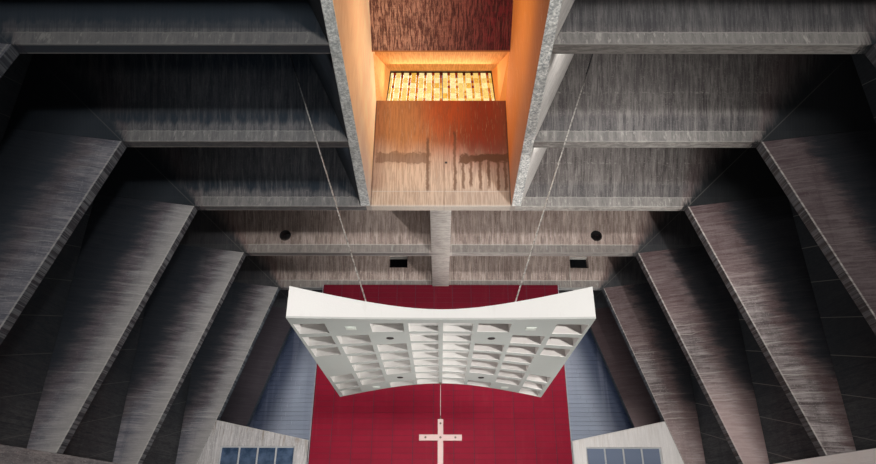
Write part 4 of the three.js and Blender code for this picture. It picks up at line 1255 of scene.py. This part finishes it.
def spot(name, place, target, cone, power, colour, softness=0.6):
    """A cone of light with a soft rim."""
    light = bpy.data.lights.new(name, "SPOT")
    light.spot_size = math.radians(cone)
    light.spot_blend = 0.7
    light.shadow_soft_size = softness
    place_light(name, light, place, target, power, colour)


def link_lights(lights, things, state):
    """Lets these lights reach only these things, or all but these."""
    group = bpy.data.collections.new(f"{lights[0]}_{state.lower()}")
    for thing in things:
        group.objects.link(thing)
    for linked in group.collection_objects:
        linked.light_linking.link_state = state
    for name in lights:
        bpy.data.objects[name].light_linking.receiver_collection = group


class CHURCH_OT_lights(bpy.types.Operator):
    """Sets the studio's soft lights and its pale sky"""

    bl_idname = "church.lights"
    bl_label = "Lights"

    def execute(self, context):
        white, warm, cool = (1.0, 0.96, 0.92), (1.0, 0.80, 0.55), (0.85, 0.92, 1.0)
        lamp("far_light", (0, -46, 3), (0, 0, 9), (16, 4), 2000, white, 80)
        lamp("low_light", (11.5, -47, 2), (-3, 0, 12), (2.5, 1.5), 930, white, 80)
        for x, y, power, colour in (
            (6.2, -9.47, 42, white), (6.2, -4.98, 120, white), (5.4, -0.49, 46, white),
            (-6.2, -4.98, 26, cool), (-5.4, -0.49, 20, cool),
        ):
            lamp(f"bay_light_{y:.0f}_{x:.0f}", (x, y - 3.7, 13.5), (x, y, 15.4), (4.4, 0.4), power, colour)
        spot("rear_light", (10.5, -15.5, 1), (3.5, 6, 14.3), 44, 9800, white, 0.25)
        spot("beam_light", (0, 1.5, 1), (0, 2.5, 13.1), 50, 1500, white)
        lamp("panel_light", (0, -1, 2), (0, 8.3, 4.5), (8, 3), 640, white)
        spot("beam_spill", (2.2, -17, 0.4), (0, -6.8, 5.6), 50, 1700, white, 0.35)
        spot("canopy_light", (9.5, -21, 2.6), (0, -6.8, 5.6), 60, 8200, white, 0.25)
        spot("fascia_light", (-7, -20, 8), (0, -9.8, 6), 60, 3500, white, 0.5)
        spot("soffit_light", (3.5, -19, 0.5), (0, -5, 14), 70, 3900, white, 0.8)
        lamp("canopy_fill", (0, -6, 0.3), (0, -6.01, 5), (6, 6), 330, white)
        lamp("glass_light", (0, -0.3, 19.5), (0, -9, 15.5), (4.4, 1.2), 70, warm)
        glow = bpy.data.lights.new("slot_glow", "POINT")
        glow.shadow_soft_size = 0.8
        place_light("slot_glow", glow, (0, -6.8, 15.8), (0, 0, 16), 130, warm)
        for name, side in SIDES:
            lamp(f"recess_light_{name}", (side * 5.6, 9.6, 8), (side * 8.6, 13.6, 9), (0.5, 9), 115, cool)
        lamp("roof_light", (0, 10, 60), (0, 0, 0), (44, 44), 12000, (0.93, 0.96, 1.0))
        suns = ((30, 12, 18, 1.5), (-30, 12, 18, 1.1), (4, 30, 18, 1.1))
        for i, (x, y, z, power) in enumerate(suns):
            sun = bpy.data.lights.new("sun", "SUN")
            sun.angle = math.radians(25)
            place_light(f"sun_{i}", sun, (x, y, z), (0, 0, 0), power, (1.0, 0.97, 0.93))
        world = bpy.data.worlds.new("sky")
        world.use_nodes = True
        shader = Shader(world.node_tree)
        back = world.node_tree.nodes["Background"]
        seen = shader.node("ShaderNodeLightPath").outputs["Is Camera Ray"]
        lighting_sky, seen_sky = (0.035, 0.042, 0.058, 1.0), (0.72, 0.74, 0.76, 1.0)
        shader.feed(back.inputs["Color"], shader.mix(seen, lighting_sky, seen_sky))
        context.scene.world = world
        return {"FINISHED"}


REAR_BEAMS = ("frame_4", "frame_5", "frame_6", "centre_beam")
PLAIN_WALLS = ("side_wall", "roof_slab", "monitor_roof", "glass_wall")


class CHURCH_OT_frames(bpy.types.Operator):
    """Finishes the frames, slabs and walls of grey concrete"""

    bl_idname = "church.frames"
    bl_label = "Frames"

    def execute(self, context):
        hall = concrete("hall_beam", BEAM_PALE, BEAM_DARK, hall_beam_marks, fan=HALL_FAN)
        rear = concrete("rear_beam", REAR_PALE, REAR_DARK, rear_beam_marks, fan=REAR_FAN)
        rib = concrete("rib", RIB_PALE, RIB_DARK, rib_marks, upright=0.0, tilt=RIB_TILT, width=0.12)
        wall = concrete("wall", BEAM_PALE, BEAM_DARK, wall_marks, upright=0.0, width=0.14)
        for node in frame["nodes"]:
            if "_rib_" in node:
                look = rib
            elif node.startswith(REAR_BEAMS):
                look = rear
            elif node.startswith("frame"):
                look = hall
            elif node.startswith(PLAIN_WALLS) or node == "end_wall":
                put_on(node, wall)
                continue
            else:
                continue
            put_on(node, look)
            soften(node)
        return {"FINISHED"}


class CHURCH_OT_slot(bpy.types.Operator):
    """Finishes the warm walls and ceiling of the light slot"""

    bl_idname = "church.slot"
    bl_label = "Light Slot"

    def execute(self, context):
        walls = slot_wall_material()
        cheeks = cheek_material()
        for name, _ in SIDES:
            put_on(f"slot_beam_{name}", walls)
            soften(f"slot_beam_{name}", 0.025)
            put_on(f"glass_cheek_{name}", cheeks)
        put_on("slot_ceiling", slot_ceiling_material())
        return {"FINISHED"}


class CHURCH_OT_glass(bpy.types.Operator):
    """Builds the coloured glass, its pieces and its dark bars"""

    bl_idname = "church.glass"
    bl_label = "Coloured Glass"

    def execute(self, context):
        pick = random.Random(7)
        lower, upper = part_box("coloured_glass")
        wide, narrow = upper.x, GLASS_HEAD_HALF_WIDTH
        front, back = lower.y + 0.006, upper.y
        border, gap = 0.035, 0.006
        names = list(GLASS_KINDS)

        def half_at(z):
            return wide + (narrow - wide) * (z - lower.z) / (upper.z - lower.z) - border

        def add_pane(shape, left, right, bottom, top, kind):
            """A pane between two shares of the half width."""
            places = ((left, gap, bottom), (right, -gap, bottom), (right, -gap, top), (left, gap, top))
            ring = [(share * half_at(z) + shift, back, z) for share, shift, z in places]
            add_tile(shape, ring, (0, front - back, 0), 0.008, names.index(kind))

        strips, beads = bmesh.new(), bmesh.new()
        columns, rows = 13, 14
        pitch = 2 / columns
        bead = pitch * 0.33
        bottom, top = lower.z + border, upper.z - border
        step = (top - bottom) / rows
        for column in range(columns + 1):
            start = max(-1 + (column - 0.5) * pitch + bead / 2, -1.0)
            end = min(-1 + (column + 0.5) * pitch - bead / 2, 1.0)
            for row in range(0, rows, 2):
                z = bottom + row * step
                add_pane(strips, start, end, z + gap, z + 2 * step - gap, pick.choice(STRIP_GLASS))
        for column in range(columns):
            middle = -1 + (column + 0.5) * pitch
            for row in range(rows):
                kind = pick.choice(TOP_GLASS if row == rows - 1 else BEAD_GLASS)
                z = bottom + row * step
                add_pane(beads, middle - bead / 2, middle + bead / 2, z + gap, z + step - gap, kind)
        looks = [glass_material(name) for name in names]
        sheets = piece("glass_strips", strips, looks)
        piece("glass_beads", beads, looks)
        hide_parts("coloured_glass")

        lead = paint_material("glass_bars", (0.060, 0.012, 0.014, 1.0), (0.12, 0.02, 0.02, 1.0))
        shape = bmesh.new()
        near = front - 0.004
        add_block(shape, (-wide, near, lower.z), (wide, back, lower.z + border))
        add_block(shape, (-narrow, near, upper.z - border), (narrow, back, upper.z))
        for _, side in SIDES:
            ring = [
                (side * wide, back, lower.z + border), (side * (wide - border), back, lower.z + border),
                (side * (narrow - border), back, upper.z - border), (side * narrow, back, upper.z - border),
            ]
            add_tile(shape, ring, (0, near - back, 0), 0.004)
        bar_left, bar_right = 0.063, 0.087
        proud = near - 0.002
        add_block(shape, (bar_left, proud, lower.z + border), (bar_right, back, upper.z - border), 0.003)
        piece("glass_frame", shape, lead)
        return {"FINISHED"}


class CHURCH_OT_boarding(bpy.types.Operator):
    """Lays the grey boards on the end wall"""

    bl_idname = "church.boarding"
    bl_label = "Boarding"

    def execute(self, context):
        pick = random.Random(11)
        lower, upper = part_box("end_wall_boarding")
        shape = bmesh.new()
        count = round(upper.z / context.scene.church_sizes.board_height)
        height = (upper.z - lower.z) / count
        gap, shortest, longest = 0.003, 1.6, 3.4
        for row in range(count):
            z = lower.z + row * height
            left, length = lower.x, pick.uniform(shortest, longest)
            while left < upper.x - 0.01:
                right = min(left + length, upper.x)
                if upper.x - right < shortest / 2:
                    right = upper.x
                ring = upright_ring(left + gap / 2, right - gap / 2, z + gap, z + height - gap, upper.y)
                add_tile(shape, ring, (0, lower.y - upper.y, 0), 0.006)
                left, length = right, longest
        boards = piece("end_wall_boards", shape, boarding_material())
        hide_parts("end_wall_boarding")
        return {"FINISHED"}


class CHURCH_OT_altar_panel(bpy.types.Operator):
    """Lays the crimson tiles on the panel behind the altar"""

    bl_idname = "church.altar_panel"
    bl_label = "Altar Panel"

    def execute(self, context):
        lower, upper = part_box("altar_panel")
        sizes = context.scene.church_sizes
        grout = paint_material("tile_grout", (0.060, 0.012, 0.024, 1.0), (0.03, 0.006, 0.012, 1.0), 0.8)
        put_on("altar_panel", grout)
        shape = bmesh.new()
        thick, joint, thin, trim = 0.012, sizes.tile_joint / 2, sizes.tile_joint / 5, 0.03
        count = math.ceil(upper.x / sizes.tile_width) + 1
        for column in range(-count, count):
            start = (column - TILE_SHIFT) * sizes.tile_width
            left = max(start, lower.x + trim) + joint
            right = min(start + sizes.tile_width, upper.x - trim) - joint
            if right - left < 0.05:
                continue
            z = lower.z
            while z < upper.z - 0.06:
                top = min(z + sizes.tile_height, upper.z - 0.004)
                ring = upright_ring(left, right, z + thin, top - thin, lower.y)
                add_tile(shape, ring, (0, -thick, 0), 0.004)
                z += sizes.tile_height
        piece("altar_tiles", shape, tile_material())

        shape = bmesh.new()
        for _, side in SIDES:
            edges = sorted((side * (upper.x - trim), side * upper.x))
            add_block(shape, (edges[0], lower.y - 0.02, lower.z), (edges[1], lower.y, upper.z))
        edge = paint_material("panel_trim", (0.42, 0.38, 0.42, 1.0), (0.25, 0.22, 0.24, 1.0))
        piece("altar_panel_trims", shape, edge)
        return {"FINISHED"}


class CHURCH_OT_windows(bpy.types.Operator):
    """Finishes the window walls and fits their frames and bars"""

    bl_idname = "church.windows"
    bl_label = "Windows"

    def execute(self, context):
        tone = chosen("window_wall")
        pale = concrete("window_wall", tone, tinted(tone, 0.52), pale_marks, contrast=0.7)
        pane = pane_material()
        paint = paint_material("window_paint", (0.50, 0.52, 0.54, 1.0), (0.30, 0.30, 0.30, 1.0))
        bar, bead, gap, panes = 0.05, 0.012, 0.001, 4
        for name, _ in SIDES:
            put_on(f"window_wall_{name}", pale)
            soften(f"window_wall_{name}", 0.015)
            lower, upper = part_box(f"window_glass_{name}")
            put_on(f"window_glass_{name}", pane)
            shape = bmesh.new()
            near, far = lower.y - 0.055, lower.y - 0.002
            left, right = lower.x + gap, upper.x - gap
            bottom, top = lower.z + gap, upper.z - gap
            low_bar, high_bar = bottom + bar, top - bar
            add_block(shape, (left, near, bottom), (right, far, low_bar), 0.005)
            add_block(shape, (left, near, high_bar), (right, far, top), 0.005)
            pitch = (right - left - bar) / panes
            for i in range(panes + 1):
                start = left + i * pitch
                proud = 0.0 if i in (0, panes) else 0.02
                add_block(shape, (start, near - proud, low_bar), (start + bar, far, high_bar), 0.006)
                if i < panes:
                    for x in (start + bar, start + pitch - bead):
                        add_block(shape, (x, near + 0.02, low_bar), (x + bead, far, high_bar), 0.002)
            piece(f"window_bars_{name}", shape, paint)
            shape = bmesh.new()
            wall_y = low(f"window_wall_{name}").y + 0.01
            add_tile(shape, level_ring(left, right, near, wall_y, bottom), (0, 0, 0.022), 0.004)
            piece(f"window_sill_{name}", shape, paint)
        return {"FINISHED"}


def coffer_middle(row, x):
    """The middle of a coffer's place along the canopy."""
    bar = COFFER_BAR + COFFER_BAR_GROWTH * x
    far = CANOPY_FAR_Y + CANOPY_FAR_RISE * (math.sqrt(1 + (x / CANOPY_FAR_BEND) ** 2) - 1)
    start = COFFER_START_Y + COFFER_DRIFT * x
    length = far - COFFER_MARGIN + bar - start
    return start + length * (row + 0.5) / COFFER_ROWS - bar / 2


class CHURCH_OT_canopy(bpy.types.Operator):
    """Paints the hung canopy and fits its lights"""

    bl_idname = "church.canopy"
    bl_label = "Canopy"

    def execute(self, context):
        put_on("canopy", plaster_material())
        under = low("canopy").z
        black = paint_material("downlight_black", (0.012, 0.012, 0.012, 1.0), (0.03, 0.03, 0.03, 1.0), 0.4)
        pale = paint_material("fitting_white", (0.66, 0.72, 0.66, 1.0), (0.5, 0.5, 0.5, 1.0), 0.4)
        downlight_x, fitting_x, fitting_column_x, half = 1.14, 1.93, 1.96, 0.11
        ring = ((0.0, 0.085), (-0.010, 0.085), (-0.013, 0.078), (-0.013, 0.066), (-0.004, 0.058))
        for name, side in SIDES:
            shape = bmesh.new()
            for row in (1, 6):
                place = (side * downlight_x, coffer_middle(row, downlight_x), under)
                add_turned(shape, place, (0, 0, 1), ring)
            piece(f"canopy_downlights_{name}", shape, black, smooth=35)
            shape = bmesh.new()
            for row in (0, 7):
                x, y = side * fitting_x, coffer_middle(row, fitting_column_x)
                corners = level_ring(x - half, x + half, y - half, y + half, under)
                add_tile(shape, corners, (0, 0, -0.010), 0.004)
                lid = ((0.0, 0.075), (0.004, 0.075), (0.006, 0.068))
                add_turned(shape, (x, y, under - 0.010), (0, 0, -1), lid)
            piece(f"canopy_fittings_{name}", shape, pale, smooth=35)
        return {"FINISHED"}


# The hangers' feet and lean, and the slope of the canopy's top under them, as in the frame.
HANGER_FOOT_X, HANGER_Y, HANGER_SLOPE = 1.576, -5.535, 0.3455
CANOPY_TOP_SLOPE = 0.170


class CHURCH_OT_hangers(bpy.types.Operator):
    """Twists the canopy's hanger ropes and fits their ends"""

    bl_idname = "church.hangers"
    bl_label = "Hangers"

    def execute(self, context):
        rope_steel = steel_material("rope_steel", (0.52, 0.50, 0.47, 1.0), (0.24, 0.23, 0.22, 1.0), 0.5, 14.6)
        plate_steel = steel_material("plate_steel", (0.60, 0.59, 0.57, 1.0), (0.30, 0.28, 0.27, 1.0))
        sleeve = ((0.0, 0.028), (0.02, 0.034), (0.14, 0.034), (0.26, 0.040), (0.34, 0.040), (0.36, 0.030))
        bolt = ((0.0, 0.022), (0.018, 0.022), (0.022, 0.016))
        bolt_out, seat, bare_end, strand_out = 0.115, 0.11, 0.30, 0.0115
        pitch = context.scene.church_sizes.rope_pitch
        for name, side in SIDES:
            node = f"canopy_hanger_{name}"
            lower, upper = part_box(node)
            along = Vector((side * HANGER_SLOPE, 0, 1)).normalized()
            foot = Vector((side * HANGER_FOOT_X, HANGER_Y, lower.z + 0.012))
            head = foot + along * ((upper.z - 0.004 - foot.z) / along.z)
            across = along.cross(Vector((0, 1, 0))).normalized()
            other = along.cross(across)
            shape = bmesh.new()
            start, end = bare_end, (head - foot).length - bare_end
            steps = int((end - start) / 0.05)
            for strand in range(3):
                path = []
                for i in range(steps + 1):
                    reach = start + (end - start) * i / steps
                    turn = 2 * math.pi * (reach / pitch + strand / 3)
                    shift = across * math.cos(turn) + other * math.sin(turn)
                    path.append(foot + along * reach + shift * strand_out)
                add_rod(shape, path, 0.0125, 6)
            rope = piece(f"hanger_rope_{name}", shape, rope_steel, smooth=50)
            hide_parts(node)

            shape = bmesh.new()
            add_turned(shape, foot + along * 0.02, along, sleeve)
            add_turned(shape, head - along * 0.02, -along, sleeve)
            for sign in (-1, 1):
                add_turned(shape, foot + along * 0.085 + Vector((0, sign * 0.03, 0)), (0, sign, 0), bolt, 6)
            half, top, under = 0.16, upper.z, upper.z - 0.03
            add_block(shape, (head.x - half, HANGER_Y - half, under), (head.x + half, HANGER_Y + half, top))
            corners = ((-1, -1), (1, -1), (1, 1), (-1, 1))
            for i, j in corners:
                place = (head.x + i * bolt_out, HANGER_Y + j * bolt_out, under)
                add_turned(shape, place, (0, 0, -1), bolt, 6)
            ring = [
                (foot.x + i * seat, HANGER_Y + j * seat, foot.z - 0.008 + side * i * seat * CANOPY_TOP_SLOPE)
                for i, j in corners
            ]
            add_tile(shape, ring, (0, 0, 0.022), 0.003)
            piece(f"hanger_ends_{name}", shape, plate_steel, smooth=35)
        return {"FINISHED"}


class CHURCH_OT_cross(bpy.types.Operator):
    """Paints the plain cross and fits its dark studs"""

    bl_idname = "church.cross"
    bl_label = "Cross"

    def execute(self, context):
        put_on("cross", paint_material("cross_paint", chosen("cross"), tinted(chosen("cross"), 0.62)))
        soften("cross", 0.006)
        put_on("cross_wire", steel_material("wire_steel", (0.72, 0.70, 0.68, 1.0), (0.4, 0.38, 0.36, 1.0)))
        lower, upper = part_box("cross")
        arm_z = upper.z - 0.50
        dark = paint_material("stud_bronze", (0.10, 0.075, 0.05, 1.0), (0.05, 0.035, 0.025, 1.0), 0.4)
        stud = ((-0.004, 0.030), (0.004, 0.030), (0.008, 0.024), (0.008, 0.014), (0.003, 0.012))
        shape = bmesh.new()
        for x, z in ((-0.42, arm_z), (0.42, arm_z), (0, arm_z), (0, upper.z - 0.12), (0, lower.z + 0.35)):
            add_turned(shape, (x, lower.y, z), (0, -1, 0), stud, 20)
        piece("cross_studs", shape, dark, smooth=35)
        middle_y = (lower.y + upper.y) / 2
        socket = ((0.0, 0.030), (0.012, 0.030), (0.02, 0.020), (0.06, 0.014), (0.10, 0.012))
        rose = ((0.0, 0.05), (0.012, 0.05), (0.016, 0.03), (0.05, 0.016), (0.07, 0.012))
        shape = bmesh.new()
        add_turned(shape, (0, middle_y, upper.z + 0.001), (0, 0, 1), socket)
        add_turned(shape, (0, middle_y, low("canopy").z - 0.0005), (0, 0, -1), rose)
        piece("cross_wire_ends", shape, dark, smooth=35)
        return {"FINISHED"}


class CHURCH_OT_services(bpy.types.Operator):
    """Fits the conduit beside the square vent and the rims of the round vents"""

    bl_idname = "church.services"
    bl_label = "Services"

    def execute(self, context):
        grey = paint_material("conduit_paint", (0.50, 0.47, 0.42, 1.0), (0.25, 0.22, 0.2, 1.0))
        face = low("frame_5_beam").y
        shape = bmesh.new()
        x, radius, top = 6.74, 0.016, 14.20
        add_rod(shape, [(x, face - radius, SOFFIT_Z + 0.02), (x, face - radius, top)], radius, 12)
        for z in (13.3, 13.75, 14.1):
            add_block(shape, (x - 0.035, face - 0.036, z - 0.012), (x + 0.035, face, z + 0.012), 0.003)
        piece("vent_conduit", shape, grey, smooth=40)
        # The round vents' rims are near black: painted shade inside the vents.
        dark = paint_material("vent_rim", (0.006, 0.006, 0.007, 1.0), (0.003, 0.003, 0.003, 1.0), 0.9)
        shape = bmesh.new()
        face = low("frame_4_beam").y
        rim = ((0.0, 0.262), (0.012, 0.262), (0.016, 0.250), (0.004, 0.246), (-0.37, 0.246), (-0.37, 0.2495))
        vent_x, vent_z = 7.13, 13.95
        for _, side in SIDES:
            add_turned(shape, (side * vent_x, face, vent_z), (0, -1, 0), rim, 32, closed=True)
        piece("vent_rims", shape, dark, smooth=35)
        return {"FINISHED"}


class CHURCH_OT_roof(bpy.types.Operator):
    """Lays the roof's felt and its metal copings"""

    bl_idname = "church.roof"
    bl_label = "Roof"

    def execute(self, context):
        felt = felt_material()
        zinc = steel_material("coping_zinc", (0.38, 0.40, 0.42, 1.0), (0.24, 0.25, 0.26, 1.0), 0.5)
        start, end = low("roof_slab_left").y, high("roof_slab_left").y
        near, far = high("roof_slab_right").x, high("end_wall").x + 0.3
        top, inner, coping, edge_gap = SLAB_TOP_Z, 3.45, 0.30, 0.004
        lift = context.scene.church_sizes.coping_height

        def edge_x(y):
            return near + (far - near) * (y - start) / (end - start)

        def felt_lift(i):
            return (0, 0, 0.012 + 0.008 * (i % 2))

        rolls, lap = 8, 0.05
        for name, side in SIDES:
            shape = bmesh.new()
            for i in range(rolls):
                shares = (i / rolls, (i + 1) / rolls)
                ring = []
                corners = ((start + coping, 0), (start + coping, 1), (end - coping, 1), (end - coping, 0))
                for y, share in corners:
                    reach = edge_x(y) - coping - inner
                    over = lap if share and i < rolls - 1 else 0.0
                    ring.append((side * (inner + reach * shares[share] + over), y, top))
                add_tile(shape, ring, felt_lift(i), 0.005)
            piece(f"roof_felt_{name}", shape, felt)

            shape = bmesh.new()
            parts = 9
            for i in range(parts):
                y0 = start + (end - start) * i / parts + edge_gap
                y1 = start + (end - start) * (i + 1) / parts - edge_gap
                bands = [(y0, y1, edge_gap, lift, 0.010)]
                if i < parts - 1:
                    bands.append((y1 - 0.04, y1 + 0.04, 0.002, lift + 0.008, 0.006))
                for first, last, inset, rise, chamfer in bands:
                    places = ((first, coping), (first, inset), (last, inset), (last, coping))
                    ring = [(side * (edge_x(y) - inward), y, top) for y, inward in places]
                    add_tile(shape, ring, (0, 0, rise), chamfer)
            piece(f"coping_{name}", shape, zinc)

        shape = bmesh.new()
        half, parts = far - coping - 0.01, 7
        for i in range(parts):
            x0 = -half + 2 * half * i / parts + edge_gap
            x1 = -half + 2 * half * (i + 1) / parts - edge_gap
            add_tile(shape, level_ring(x0, x1, end - coping, end - edge_gap, top), (0, 0, lift), 0.010)
        piece("coping_rear", shape, zinc)

        shape = bmesh.new()
        half, rolls, rear_start = 3.4, 6, 1.0
        for i in range(rolls):
            x0 = -half + 2 * half * i / rolls
            x1 = -half + 2 * half * (i + 1) / rolls + (lap if i < rolls - 1 else 0.0)
            add_tile(shape, level_ring(x0, x1, rear_start, end - coping, top), felt_lift(i), 0.005)
        piece("roof_felt_rear", shape, felt)
        return {"FINISHED"}


class CHURCH_OT_stage(bpy.types.Operator):
    """Lays the plain pale floor that the building stands on"""

    bl_idname = "church.stage"
    bl_label = "Stage"

    def execute(self, context):
        half = 150.0
        mesh = bpy.data.meshes.new("stage_floor")
        mesh.from_pydata(level_ring(-half, half, -half, half, 0), [], [(0, 1, 2, 3)])
        floor = bpy.data.objects.new("stage_floor", mesh)
        context.scene.collection.objects.link(floor)
        made, shader, inputs = material("stage_floor", roughness=0.9)
        seen = shader.node("ShaderNodeLightPath").outputs["Is Camera Ray"]
        shader.feed(inputs["Base Color"], shader.mix(seen, (0.10, 0.10, 0.10, 1.0), (0.62, 0.61, 0.59, 1.0)))
        mesh.materials.append(made)
        canopy = frame["nodes"]["canopy"]
        link_lights(("far_light", "low_light", "beam_spill"), (floor, canopy), "EXCLUDE")
        link_lights(("canopy_light", "fascia_light"), (canopy,), "INCLUDE")
        slot_beams = [frame["nodes"][f"slot_beam_{name}"] for name, _ in SIDES]
        link_lights(("soffit_light",), slot_beams, "INCLUDE")
        return {"FINISHED"}


class CHURCH_PT_panel(bpy.types.Panel):
    """Lists the steps and the values that a user can change"""

    bl_label = "Church"
    bl_idname = "CHURCH_PT_panel"
    bl_space_type = "VIEW_3D"
    bl_region_type = "UI"
    bl_category = "Church"

    def draw(self, context):
        for name, values in VALUES.items():
            for value in values.__annotations__:
                self.layout.prop(getattr(context.scene, name), value)
        for step in STEPS:
            self.layout.operator(step.bl_idname)


STEPS = (
    CHURCH_OT_view,
    CHURCH_OT_lights,
    CHURCH_OT_frames,
    CHURCH_OT_slot,
    CHURCH_OT_glass,
    CHURCH_OT_boarding,
    CHURCH_OT_altar_panel,
    CHURCH_OT_windows,
    CHURCH_OT_canopy,
    CHURCH_OT_hangers,
    CHURCH_OT_cross,
    CHURCH_OT_services,
    CHURCH_OT_roof,
    CHURCH_OT_stage,
)
VALUES = {"church_view": CHURCH_PG_view, "church_sizes": CHURCH_PG_sizes, "church_colours": CHURCH_PG_colours}
CLASSES = (*VALUES.values(), *STEPS, CHURCH_PT_panel)


def register():
    for made in CLASSES:
        bpy.utils.register_class(made)
    for name, values in VALUES.items():
        setattr(bpy.types.Scene, name, bpy.props.PointerProperty(type=values))


def unregister():
    for name in VALUES:
        delattr(bpy.types.Scene, name)
    for made in reversed(CLASSES):
        bpy.utils.unregister_class(made)


def main():
    register()
    for make in (make_board_space, make_board_marks, make_weathering, make_rib_edge):
        make()
    for step in STEPS:
        group, name = step.bl_idname.split(".")
        getattr(getattr(bpy.ops, group), name)()


if __name__ == "__main__":
    main()
